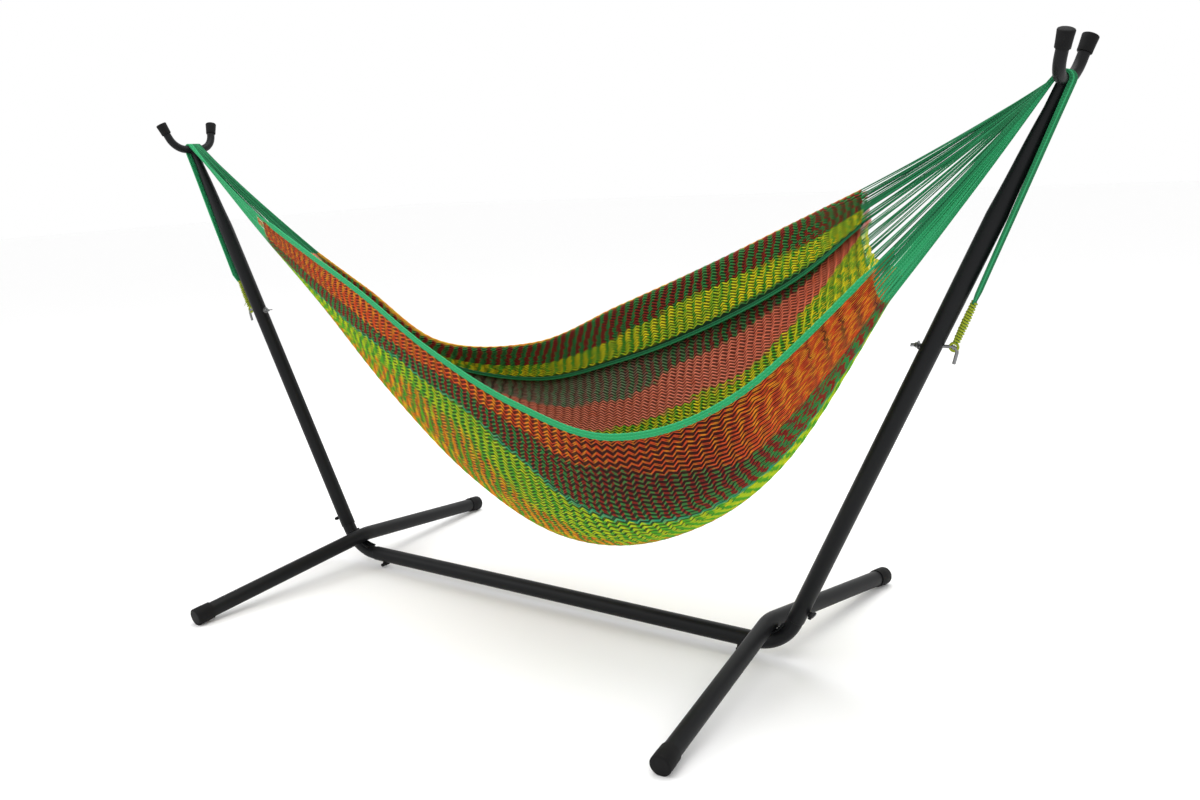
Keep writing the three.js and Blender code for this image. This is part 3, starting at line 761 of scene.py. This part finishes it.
def makeKnob(side, place):
    if place == "arm":
        origin = corner + armAlong * knobLook["reach"] + armOut * stand["tube"]
        away, ahead = armOut, np.array([0.0, 1.0, 0.0])
    else:
        origin = corner + np.array([-knobLook["reach"], 0.0, -stand["tube"]])
        away, ahead = -upwards, np.array([0.0, 1.0, 0.0])
    aside = np.cross(away, ahead)
    low = knobLook["standOff"] + knobLook["collar"] - 0.0006
    top = low + knobLook["thick"]
    bar = [(low, 1, 0.0014), (low + 0.0004, 1, 0.0006), (low + 0.0012, 1, 0.0), (top - 0.0020, 1, 0.0),
           (top - 0.0008, 1, 0.0006), (top - 0.0002, 1, 0.0014), (top, 1, 0.0026)]
    parts = [layered(knobOutline(), bar, origin, ahead, aside, away)]
    collar = [(0.0008, 0.0066), (0.0009, 0.0073), (0.0016, 0.0076), (0.0040, 0.0084), (0.0058, 0.0088),
              (0.0066, 0.0086)]
    parts.append(tubeAlong([origin + away * along for along, _ in collar], [r for _, r in collar], 36))
    recess = [(top - 0.0001, 0.0044), (top + 0.0005, 0.0042), (top + 0.0005, 0.0034), (top + 0.0001, 0.0032)]
    parts.append(tubeAlong([origin + away * along for along, _ in recess], [r for _, r in recess], 30))
    piece = joined(f"{side}_{place}_knob_moulded", turned(parts, side), knobPlastic)
    standIn(outwardFaces(piece), f"{side}_{place}_knob", f"{side}_{place}_screw", 45)


hookLook = {"height": 0.838, "radius": 0.004, "bend": 0.012, "reach": 0.018, "washer": 0.010,
            "washerThick": 0.0016, "thread": 0.034, "pitch": 0.00125, "gap": 0.0003, "chamfer": 0.0008}
hookX = stand["cornerX"] + (hookLook["height"] - stand["spineHeight"]) * math.tan(tilt)
armHalfWidth = stand["tube"] / math.cos(tilt)
washerX = hookX - armHalfWidth - hookLook["washer"] * math.tan(tilt) - hookLook["gap"]
hookTop = hookX + armHalfWidth + hookLook["reach"]


def makeHookBolt(side):
    start = np.array([washerX - hookLook["reach"], 0.0, hookLook["height"]])
    ahead = np.array([1.0, 0.0, 0.0])
    moves = [("leg", hookTop - start[0], 0), ("bend", hookLook["bend"], math.radians(105)),
             ("leg", 2 * hookLook["bend"], 0)]
    shank = routed(start, ahead, -upwards, moves, 16)
    threads = []
    radii = []
    for i in range(int(hookLook["thread"] / hookLook["pitch"] * 2)):
        threads.append(start + ahead * (hookLook["pitch"] / 2 * i))
        radii.append(hookLook["radius"] - (0.0005 if i % 2 else 0.0) - (0.0006 if i == 0 else 0.0))
    chamfer = hookLook["chamfer"]
    shoulder = shank[-1] - unit(shank[-1] - shank[-2]) * chamfer
    shaft = np.concatenate([np.array(threads), shank[1:-1], [shoulder], shank[-1:]])
    plain = np.full(len(shank) - 1, hookLook["radius"])
    sizes = np.concatenate([radii, plain, [hookLook["radius"] - chamfer]])
    piece = joined(f"{side}_hook_bolt_bent", turned([tubeAlong(shaft, sizes, 24)], side), zinc)
    standIn(piece, f"{side}_hook_bolt", "root", 60)


def revolve(profile, origin, ahead, segments=40):  # a closed profile of (along, radius) round a line
    first = unit(np.cross(ahead, upwards))
    second = np.cross(ahead, first)
    verts = []
    for i in range(segments):
        angle = 2 * math.pi * i / segments
        outwards = math.cos(angle) * first + math.sin(angle) * second
        verts += [origin + ahead * along + outwards * radius for along, radius in profile]
    count = len(profile)
    faces = []
    for i in range(segments):
        for j in range(count):
            k = (j + 1) % count
            n = (i + 1) % segments
            faces.append((i * count + j, n * count + j, n * count + k, i * count + k))
    return verts, faces


def makeWasherAndNut(side):
    inwards = np.array([-1.0, 0.0, 0.0])
    seat = np.array([washerX, 0.0, hookLook["height"]])
    inner = hookLook["radius"] + hookLook["gap"]
    thick = hookLook["washerThick"]
    ring = [(0.0, inner + 0.0002), (0.0, 0.0096), (0.0003, 0.010), (thick - 0.0003, 0.010), (thick, 0.0096),
            (thick, inner + 0.0002), (thick - 0.0003, inner), (0.0003, inner)]
    washer = joined(f"{side}_hook_washer_plated", turned([revolve(ring, seat, inwards)], side), zinc)
    standIn(outwardFaces(washer), f"{side}_hook_washer", "root", 35)
    base = seat + inwards * (thick + hookLook["gap"])
    boss = [(0.0, inner + 0.0003), (0.0, 0.0066), (0.0005, 0.0070), (0.0045, 0.0064), (0.0066, 0.0056),
            (0.0070, 0.0052), (0.0070, inner + 0.0003), (0.0066, inner), (0.0004, inner)]
    parts = [revolve(boss, base, inwards)]
    ear = [(0.0050, 0.0008), (0.0085, 0.0018), (0.0120, 0.0030), (0.0155, 0.0042), (0.0180, 0.0066),
           (0.0186, 0.0095), (0.0178, 0.0120), (0.0160, 0.0130), (0.0138, 0.0122), (0.0118, 0.0102),
           (0.0098, 0.0080), (0.0074, 0.0066), (0.0050, 0.0060)]
    middle = np.mean(ear, axis=0)
    for sign in (-1.0, 1.0):
        verts = []
        layers = [(-0.0012, 0.90), (-0.0007, 1.0), (0.0007, 1.0), (0.0012, 0.90)]
        for offset, scale in layers:
            for out, along in ear:
                out = middle[0] + (out - middle[0]) * scale
                along = middle[1] + (along - middle[1]) * scale
                verts.append(base + inwards * along + np.array([0.0, sign * out, offset]))
        parts.append((verts, stackFaces(len(layers), len(ear))))
    nut = joined(f"{side}_wing_nut_cast", turned(parts, side), zinc)
    standIn(outwardFaces(nut), f"{side}_wing_nut", f"{side}_wing_nut", 40)


for side in ("left", "right"):
    for place in ("arm", "spine"):
        makeKnob(side, place)
    makeHookBolt(side)
    makeWasherAndNut(side)
for name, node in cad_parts.items():
    if name.endswith(("_stud", "_insert")):
        node.data.materials.clear()
        node.data.materials.append(zinc)
print("knobs, hooks and nuts made")

# Hammock: stations along the near edge, the lowest line and the far fold, as the frame has them.
netLie = {
    "near": [(-0.985, -0.105, 1.165), (-0.720, -0.148, 1.054), (-0.430, -0.208, 0.944),
             (-0.110, -0.273, 0.806), (0.210, -0.313, 0.693), (0.520, -0.325, 0.641),
             (0.830, -0.292, 0.757), (1.126, -0.128, 1.064)],
    "keel": [(-1.062, 0.050, 1.040), (-0.800, 0.025, 0.836), (-0.490, 0.000, 0.590), (-0.140, -0.015, 0.368),
             (0.200, -0.045, 0.262), (0.530, -0.060, 0.322), (0.830, -0.060, 0.545), (1.118, -0.035, 1.000)],
    "far": [(-1.035, 0.150, 1.028), (-0.800, 0.170, 0.888), (-0.540, 0.220, 0.716), (-0.190, 0.285, 0.718),
            (0.150, 0.262, 0.846), (0.460, 0.228, 0.966), (0.740, 0.192, 1.082), (0.955, 0.150, 1.171)],
    "flapDrop": [0.005, 0.014, 0.046, 0.100, 0.147, 0.152, 0.130, 0.058],
    "foldRadius": 0.014, "foldShare": 0.3, "foldLean": 0.006,
}


def curveAt(stations, share):  # a smooth curve through evenly spaced stations
    stations = np.array(stations, float)
    padded = np.vstack([2 * stations[0] - stations[1], stations, 2 * stations[-1] - stations[-2]])
    spot = np.clip(share, 0, 1) * (len(stations) - 1)
    first = np.minimum(spot.astype(int), len(stations) - 2)
    t = (spot - first)[..., None]
    a, b, c, d = (padded[first + i] for i in range(4))
    return b + 0.5 * t * (c - a + t * (2 * a - 5 * b + 4 * c - d + t * (3 * (b - c) + d - a)))


# across: 0 near edge, 1 lowest line, 2 far fold, 3 far edge hanging inside
def netPoint(along, across):
    along, across = np.broadcast_arrays(np.asarray(along, float), np.asarray(across, float))
    keel, near, far = (curveAt(netLie[name], along) for name in ("keel", "near", "far"))
    drop = curveAt([(0, 0, d) for d in netLie["flapDrop"]], along)[..., 2]
    edge = np.where((across <= 1)[..., None], near, far)
    angle = np.abs(1 - np.minimum(across, 2)) * np.pi / 2
    level = (edge - keel) * np.array([1.0, 1.0, 0.0])
    body = keel + level * np.sin(angle)[..., None]
    body[..., 2] += (edge[..., 2] - keel[..., 2]) * (1 - np.cos(angle))
    inwards = (keel - far) * np.array([1.0, 1.0, 0.0])
    reach = np.linalg.norm(inwards, axis=-1)
    fold = np.minimum(netLie["foldRadius"], 0.08 * reach)
    inwards = inwards / reach[..., None]
    past = across - 2
    roll = np.clip(past / netLie["foldShare"], 0, 1) * np.pi
    down = np.clip((past - netLie["foldShare"]) / (1 - netLie["foldShare"]), 0, 1)
    flap = far + inwards * (fold * (1 - np.cos(roll)) + netLie["foldLean"] * down)[..., None]
    flap[..., 2] += fold * np.sin(roll) - drop * down
    return np.where((across > 2)[..., None], flap, body)


def netNormal(along, across):
    along, across = np.broadcast_arrays(np.asarray(along, float), np.asarray(across, float))
    nudge = 1e-3
    stepAlong = np.where(along > 1 - nudge, -nudge, nudge)
    stepAcross = np.where(across > 3 - nudge, -nudge, nudge)
    here = netPoint(along, across)
    ahead = (netPoint(along + stepAlong, across) - here) / stepAlong[..., None]
    aside = (netPoint(along, across + stepAcross) - here) / stepAcross[..., None]
    return unit(np.cross(ahead, aside)), unit(ahead)


# Where the woven colour bands meet, as (along, across) stations in order from the near edge.
bandLines = [
    [(0.0, 0.30), (0.37, 0.10), (0.48, 0.06), (0.58, 0.09), (0.73, 0.177), (0.81, 0.31), (0.865, 0.53),
     (1.0, 0.70)],
    [(0.0, 0.50), (0.36, 0.174), (0.48, 0.13), (0.57, 0.214), (0.705, 0.504), (0.78, 0.667), (0.86, 0.82),
     (1.0, 1.0)],
    [(0.0, 0.75), (0.36, 0.25), (0.47, 0.244), (0.55, 0.414), (0.70, 0.80), (0.80, 0.98), (1.0, 1.15)],
    [(0.0, 1.2), (0.5, 1.30), (0.75, 1.30), (1.0, 1.35)],
    [(0.0, 1.4), (0.56, 1.60), (0.706, 1.669), (0.77, 1.665), (0.866, 1.719), (1.0, 1.74)],
    [(0.0, 1.6), (0.568, 1.695), (0.671, 1.772), (0.866, 1.802), (1.0, 1.85)],
    [(0.0, 2.0), (1.0, 2.0)],
    [(0.0, 2.70), (0.546, 2.683), (0.71, 2.533), (0.868, 2.58), (1.0, 2.6)],
    [(0.0, 2.96), (0.544, 2.955), (0.71, 2.93), (1.0, 2.93)],
]


def bandAt(along, across):
    along, across = np.broadcast_arrays(np.asarray(along, float), np.asarray(across, float))
    lines = [np.zeros(along.shape)]
    for stations in bandLines:
        places, heights = zip(*stations)
        lines.append(np.interp(along, places, heights))
    lines.append(np.full(along.shape, 3.001))
    band = np.zeros(along.shape)
    for i in range(len(lines) - 1):
        share = (across - lines[i]) / np.maximum(lines[i + 1] - lines[i], 1e-4)
        band = np.where((across >= lines[i]) & (across <= lines[i + 1]), i + np.clip(share, 0, 0.9999), band)
    return band


netWeave = {
    "rows": 172, "nearRows": 0.31, "nearArc": 0.42, "step": 0.0175, "length": 2.5, "hem": 0.009, "group": 9,
    "swing": 0.0046, "thin": 0.0009, "thick": 0.0024, "fill": 0.27, "drift": 0.0024,
    "plain": 0.15, "sides": 4, "sheetHalf": 0.0004, "seed": 11, "bunch": 0.62, "stretch": 0.3,
}
middleAcross = np.linspace(0, 3, 1801)
middleArc = distances(netPoint(np.full(middleAcross.shape, 0.5), middleAcross))
chance = np.random.default_rng(netWeave["seed"])
raggedEnds = chance.integers(0, 3, (netWeave["rows"] // netWeave["group"] + 1, 2))


def rowAcross(share):  # from the share of the way round the middle of the net
    return np.interp(share * middleArc[-1], middleArc, middleAcross)


def rowShare(index):  # the near side's rows are stretched further apart than the rest
    count = np.clip((np.asarray(index) + 0.5) / netWeave["rows"], 0, 1)
    share = np.interp(count, (0, netWeave["nearRows"], 1), (0, netWeave["nearArc"], 1))
    return netWeave["hem"] + (1 - 2 * netWeave["hem"]) * share


def localPitch(along, index):
    low, high = (rowAcross(rowShare(index + half)) for half in (-0.5, 0.5))
    return np.linalg.norm(netPoint(along, high) - netPoint(along, low), axis=-1)


def netRow(index):
    share = float(rowShare(index))
    across = float(rowAcross(share))
    # rows turn at nearly the same stations, so the wave crests of neighbours lie side by side
    turns = int(netWeave["length"] / netWeave["step"])
    group = int(index / netWeave["group"])
    first, last = raggedEnds[group]
    stations = np.arange(first, turns - last + 1)
    drift = netWeave["drift"] * math.sin(index * 0.9) + 0.3 * netWeave["step"] * math.sin(index * 0.11)
    along = np.clip(stations / turns + drift / netWeave["length"], 0, 1)
    points = netPoint(along, across)
    normal, ahead = netNormal(along, across)
    aside = unit(np.cross(normal, ahead))
    pitch = localPitch(along, index)
    runs = distances(points)
    swing = np.where(stations % 2, 1.0, -1.0) * (0.9 + 0.2 * chance.random(len(stations)))
    ends = np.clip(np.minimum(runs, runs[-1] - runs) / netWeave["plain"], 0.12, 1)
    size = np.clip(netWeave["fill"] * pitch, netWeave["thin"], netWeave["thick"])
    crowd = np.clip(0.0030 - pitch, 0, 0.0015) * (1 if index % 2 else -1)
    # where the near side is stretched open, rows draw together in pairs and leave wide gaps
    stretched = np.interp(along, (0.58, 0.70, 0.84, 0.92), (0, 1, 1, 0))
    stretched *= np.interp(across, (0.02, 0.06, 0.5, 0.85), (0, 1, 1, 0))
    points = points + aside * (netWeave["bunch"] * stretched * pitch * (0.5 - index % 2))[:, None]
    size = size * (1 - 0.1 * stretched)
    swell = 1 + netWeave["stretch"] * stretched
    sway = aside * (swing * ends * swell * np.clip(pitch * 0.5, 0.0008, netWeave["swing"]))[:, None]
    sway += normal * (swing * 0.0004)[:, None]
    return {
        "points": points + crowd[:, None] * normal, "radius": size, "sway": sway,
        "run": along * netWeave["length"], "girth": np.full(len(along), share * middleArc[-1]),
        "band": bandAt(along, across), "shade": float(chance.random()), "weft": share,
    }


def makeNetYarns():
    rows = [netRow(i) for i in range(netWeave["rows"])]
    names = ("near_side_yarns", "lower_yarns", "far_side_yarns")
    pieces = []
    for part, name in enumerate(names):
        low = part * len(rows) // len(names)
        high = (part + 1) * len(rows) // len(names)
        pieces.append(sweptYarns(name, rows[low:high], yarn, netWeave["sides"], 1.0))
    return pieces


# A closed sheet along the middle of the net, between the yarns, in the darkened net colours: painted shade
# for the dark gaps between the rows
def makeNetSheet():
    alongs = np.linspace(0.018, 0.982, 131)
    spans = ((0, 2, 57), (2, 2.3, 11), (2.3, 3, 13))  # the bed, the fold and the flap
    acrosses = np.unique(np.concatenate([np.linspace(*span) for span in spans]))
    along, across = np.meshgrid(alongs, acrosses, indexing="ij")
    normal, _ = netNormal(along, across)
    middle = netPoint(along, across)
    layers = [middle + normal * sign * netWeave["sheetHalf"] for sign in (1, -1)]
    verts = np.concatenate([layer.reshape(-1, 3) for layer in layers])
    girth = np.interp(across, middleAcross, middleArc)
    values = {
        "run": along * netWeave["length"], "girth": girth, "band": bandAt(along, across),
        "shade": np.full(along.shape, 0.5), "weft": girth / middleArc[-1],
    }
    doubled = {key: np.concatenate([value.ravel(), value.ravel()]) for key, value in values.items()}
    return outwardFaces(newPiece("net_painted_shade_sheet", verts, sheetFaces(*along.shape), shadedNetYarn, doubled))


netSheet = makeNetSheet()
netYarns = makeNetYarns()
print("net made:", sum(len(piece.data.polygons) for piece in netYarns), "faces of yarn")


# Edge tapes: stout cords side by side along each long edge.
def edgeTape(name, across, cords, spacing, radius, low=0.0, high=1.0):
    inside = across - 0.04 if across > 1 else across + 0.04
    guides = []
    alongs = np.linspace(low, high, 260)
    edge = netPoint(alongs, across)
    outwards = unit(edge - netPoint(alongs, inside))
    normal, _ = netNormal(alongs, across)
    run = distances(edge)
    for i in range(cords):
        thin = np.clip(np.minimum(run, run[-1] - run) / 0.1, 0.5, 1)
        offset = (i - (cords - 1) / 2) * spacing * thin - 0.002
        wobble = 0.0005 * np.sin(run * 2 * np.pi / 0.022 + i * 2.1)
        points = edge + outwards * (offset + wobble * thin)[:, None] + normal * (0.0006 * ((i % 2) * 2 - 1))
        shade = 0.2 + 0.6 * ((i * 0.37) % 1)
        guides.append({"points": points, "radius": radius * thin, "run": run, "shade": shade})
    return sweptYarns(name, guides, edgeString, 8)


nearTape = edgeTape("near_edge_tape", 0.0, 5, 0.0034, 0.0022)
farTape = edgeTape("far_edge_tape", 3.0, 3, 0.0034, 0.0022, 0.02, 0.98)
farTape.data.materials[0] = greenString

# End strings: from the net's end, over the yoke's saddle, and down the back to the whipped eye.
fanLook = {
    "strings": 136, "thick": 0.0013, "sag": 0.006, "seed": 23, "band": 0.044, "strapThick": 0.0036,
    "arc": 0.0158, "groups": 25, "grip": 0.68, "stray": 0.0016, "narrow": 0.14, "neck": 0.95,
    "neckDraw": 0.44,
}
eyePoint = np.array([hookTop + 0.005, 0.0, hookLook["height"] - 0.002])
whipTop = eyePoint + np.array([0.042, 0.0, 0.098])
strapRun = whipTop - forkOrigin
strapLength = math.hypot(strapRun[0], strapRun[2])
strapLean = math.atan2(strapRun[2], strapRun[0]) - math.asin(fanLook["arc"] / strapLength)
strapAlong = np.array([math.cos(strapLean), 0.0, math.sin(strapLean)])
strapOut = np.array([-math.sin(strapLean), 0.0, math.cos(strapLean)])
saddleStart = math.radians(150)
saddleEnd = strapLean + math.pi / 2


def stringGuides(side, seed):
    turn = endTurns[side]
    end = 0.981 if side == "right" else 0.019
    dice = np.random.default_rng(seed)
    fans = []
    straps = []
    count = fanLook["strings"]
    for i in range(count):
        share = (i + 0.5) / count
        grouped = (math.floor(share * fanLook["groups"]) + 0.5) / fanLook["groups"]
        spread = grouped + (share - grouped) * fanLook["grip"] + dice.normal(0, fanLook["stray"])
        across = float(rowAcross(min(max(spread, 0.004), 0.996)))
        foot = netPoint(end, across)
        layer = (i % 4) - 1.5
        lane = (share - 0.5) * fanLook["band"] + dice.normal(0, 0.0006)
        if side == "left":
            lane = -lane
        lane = max(-fanLook["band"] / 2, min(lane, fanLook["band"] / 2))
        depth = layer * fanLook["strapThick"] / 3
        reach = fanLook["arc"] + depth
        path = []
        start = turn @ np.asarray(foot)
        meet = forkOrigin + reach * np.array([math.cos(saddleStart), 0, math.sin(saddleStart)]) + [0, lane, 0]
        sag = fanLook["sag"] * (0.6 + 0.8 * dice.random())
        bulge = np.array([0.0, dice.normal(0, 0.0015), -1.0])
        for t in np.linspace(0, 1, 15)[:-1]:
            hang = bulge * sag * math.sin(math.pi * t)
            gather = lane * 0.35 * math.sin(math.pi * t) ** 2
            path.append(start + (meet - start) * t + hang - np.array([0, gather * t, 0]))
        for angle in np.linspace(saddleStart, saddleEnd, 9):
            path.append(forkOrigin + reach * np.array([math.cos(angle), 0, math.sin(angle)]) + [0, lane, 0])
        first = path[-1]
        # the strap narrows towards the whipping
        length = math.sqrt(strapLength ** 2 - fanLook["arc"] ** 2)
        neck = fanLook["neck"]
        for t in (*np.linspace(0, neck, 13)[1:], *np.linspace(neck, 1, 5)[1:]):
            narrow = 1 - fanLook["narrow"] * t - fanLook["neckDraw"] * max(t - neck, 0) / (1 - neck)
            ripple = 0.0008 * math.sin(9 * t + i)
            y = lane * narrow + ripple * (1 - t)
            path.append(np.array([first[0], y, first[2]]) + strapAlong * (length - 0.001) * t
                        + strapOut * depth * (-0.6 * t))
        path = np.array([turn @ p for p in path])
        run = distances(path)
        finish = {"radius": fanLook["thick"], "shade": float(dice.random())}
        top = 18  # the point on the saddle's top, where the fan ends and the strap begins
        fans.append({"points": path[:top + 1], "run": run[:top + 1], **finish})
        straps.append({"points": path[top:], "run": run[top:], **finish})
    return fans, straps


for side, seed in (("left", fanLook["seed"]), ("right", fanLook["seed"] + 1)):
    fans, straps = stringGuides(side, seed)
    low, high = (0.14, 0.44) if side == "right" else (0.0, 0.30)
    bright = [i for i in range(len(fans)) if low <= i / len(fans) < high]
    dull = [i for i in range(len(fans)) if i not in bright]
    groups = [
        ("end_strings", fans, dull, greenString), ("edge_strings", fans, bright, brightString),
        ("strap_strings", straps, dull, greenString), ("strap_edge_strings", straps, bright, brightString),
    ]
    for name, guides, picked, finish in groups:
        piece = sweptYarns(f"{side}_{name}", [guides[i] for i in picked], finish, 5)
        if guides is fans:
            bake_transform(piece)
        else:
            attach(piece, "root")
        if finish is greenString:
            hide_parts(f"{side}_string_fan" if guides is fans else f"{side}_back_strap")
print("end strings made")

# Whipped eyes: a loop over the hook, wound tightly up the neck.
whipLook = {"wire": 0.0025, "neck": 0.0056, "turns": 15, "loop": 0.0088, "loopWire": 0.0030, "wraps": 30}


def strand(line, side, radius, shade):  # one yarn's guide, turned to its end of the stand
    points = np.array([endTurns[side] @ np.asarray(point) for point in line])
    return {"points": points, "radius": radius, "run": distances(points), "shade": shade}


def makeWhippedEye(side):
    up = unit(whipTop - eyePoint)
    center = eyePoint + up * 0.0016
    facing = np.array([0.0, 1.0, 0.0])
    aside = np.cross(up, facing)
    steps = 26 * whipLook["wraps"]
    wound = []
    for i in range(steps + 1):  # wound round the loop
        t = i / steps
        ring = -math.pi / 2 + 2 * math.pi * t
        outwards = math.cos(ring) * aside + math.sin(ring) * up
        coil = 2 * math.pi * whipLook["wraps"] * t
        radius = whipLook["loopWire"] - 0.0010
        reach = whipLook["loop"] + radius * math.cos(coil)
        wound.append(center + outwards * reach + facing * radius * math.sin(coil))
    ringLine = [center + whipLook["loop"] * (math.cos(a) * aside + math.sin(a) * up)
                for a in np.linspace(0, 2 * math.pi, 49)]
    low = center + up * (whipLook["loop"] + 0.0030)
    high = whipTop + up * 0.004
    core = np.array([low + (high - low) * t for t in np.linspace(0, 1, 12)])
    coilLine = []
    coilSteps = 16 * whipLook["turns"]
    for i in range(coilSteps + 1):
        t = i / coilSteps
        angle = 2 * math.pi * whipLook["turns"] * t
        swell = whipLook["neck"] + 0.0012 * math.sin(math.pi * min(1, t * 1.1)) + 0.0004 * math.sin(t * 61)
        coilLine.append(low + (high - low) * t + swell * (math.cos(angle) * aside + math.sin(angle) * facing))
    guides = [strand(wound, side, 0.0013, 0.55), strand(coilLine, side, whipLook["wire"], 0.7)]
    piece = sweptYarns(f"{side}_eye_whipping", guides, limeString, 8)
    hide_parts(f"{side}_whipped_eye")
    inside = [strand(ringLine, side, 0.0021, 0.1), strand(core, side, 0.0054, 0.1)]
    heart = sweptYarns(f"{side}_eye_heart", inside, greenString, 8)
    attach(heart, "root")
    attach(piece, "root")
    # two loose yarn ends below the whipping
    tails = []
    for i, lean in enumerate((-0.4, 0.35)):
        base = low + up * (0.012 + 0.01 * i)
        tail = [base + aside * 0.007 + np.array([0.002 * s, lean * 0.02 * s, -0.004 * s * s])
                for s in np.linspace(0, 2.2, 9)]
        tails.append(strand(tail, side, 0.0009, 0.5 + 0.2 * i))
    tailPiece = sweptYarns(f"{side}_whipping_tails", tails, limeString, 6)
    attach(tailPiece, "root")


for side in ("left", "right"):
    makeWhippedEye(side)
print("whipped eyes made")

# A blank label sewn on the outside of the left strap.
tagLook = {
    "width": 0.024, "height": 0.038, "thick": 0.0005, "above": 0.034, "clear": 0.0043, "stitch": 0.0024,
}


def tagCurl(u, v):  # how far the cloth stands off; u across and v along, both from -0.5 to 0.5
    curl = 0.0011 * math.sin(3.2 * u + 0.4) + 0.0009 * math.cos(5.0 * v) * (2 * u) ** 2
    return curl + 0.0022 * max(v - 0.3, 0) ** 1.2


def makeTag():
    width, height = tagLook["width"], tagLook["height"]
    middle = whipTop - strapAlong * tagLook["above"] + strapOut * tagLook["clear"]
    across = np.array([0.0, 1.0, 0.0])
    verts = []
    rows, columns = 25, 17
    for layer in (1, -1):
        for i in range(rows):
            for j in range(columns):
                u = j / (columns - 1) - 0.5
                v = i / (rows - 1) - 0.5
                offset = strapOut * (tagCurl(u, v) + layer * tagLook["thick"] / 2)
                verts.append(middle + across * u * width + strapAlong * v * height + offset)
    shape = (verts, sheetFaces(rows, columns))
    tag = outwardFaces(joined("blank_tag", turned([shape], "left"), label))
    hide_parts("strap_tag")
    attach(tag, "root")
    stitches = []
    for edge in (-1, 1):
        y = edge * (width / 2 - 0.0016)
        for i in range(12):
            line = []
            for step in (-0.5, 0, 0.5):
                v = -0.46 + i * 0.08 + step * tagLook["stitch"] / height
                lift = tagCurl(y / width, v) + tagLook["thick"] / 2 + 0.0001 + 0.0001 * (step == 0)
                line.append(middle + across * y + strapAlong * v * height + strapOut * lift)
            stitches.append(strand(line, "left", 0.0002, 0.4))
    thread = sweptYarns("tag_stitching", stitches, limeString, 5)
    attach(thread, "root")
    return tag, thread


tag, tagThread = makeTag()
print("label made")

for piece in (netSheet, *netYarns, nearTape, farTape):
    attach(piece, "hammock")
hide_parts("hammock_net")
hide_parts("near_edge_cord")
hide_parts("far_edge_cord")


# Pale floor and soft studio light
def makeStudio():
    floorData = bpy.data.meshes.new("floor")
    reach = 30.0
    corners = [(-reach, -reach, 0), (reach, -reach, 0), (reach, reach, 0), (-reach, reach, 0)]
    floorData.from_pydata(corners, [], [(0, 1, 2, 3)])
    floor = bpy.data.objects.new("floor", floorData)
    bpy.context.scene.collection.objects.link(floor)

    def paint(start, place):
        cloud = start.noise(2.0, 2.0, place)
        return {"Roughness": 0.75 + 0.1 * cloud}
    pale = newMaterial("pale_floor", (0.985, 0.985, 0.985), 0.8, paint, Specular_IOR_Level=0.1)
    floorData.materials.append(pale)
    lights = [
        ("overhead", (0.0, 0.4, 4.6), (0, 0, 0.3), 3.4, 85),
        ("front_left", (-3.6, -3.4, 3.2), (0, 0, 0.7), 2.2, 50),
        ("front_right", (3.8, -3.0, 2.6), (0.4, 0, 0.6), 2.4, 14),
        ("behind", (-1.0, 4.2, 3.2), (0, 0, 0.8), 3.0, 26),
    ]
    for name, place, target, size, power in lights:
        data = bpy.data.lights.new(name, "AREA")
        data.shape = "DISK"
        data.size = size
        data.energy = power
        lamp = bpy.data.objects.new(name, data)
        lamp.location = place
        lamp.rotation_euler = (Vector(target) - Vector(place)).to_track_quat("-Z", "Y").to_euler()
        bpy.context.scene.collection.objects.link(lamp)
    world = bpy.data.worlds.new("studio")
    world.use_nodes = True
    background = world.node_tree.nodes["Background"]
    background.inputs["Color"].default_value = (1, 1, 1, 1)
    background.inputs["Strength"].default_value = 1.0
    bpy.context.scene.world = world
    bpy.context.scene.view_settings.view_transform = "Standard"


makeStudio()
print("studio ready")
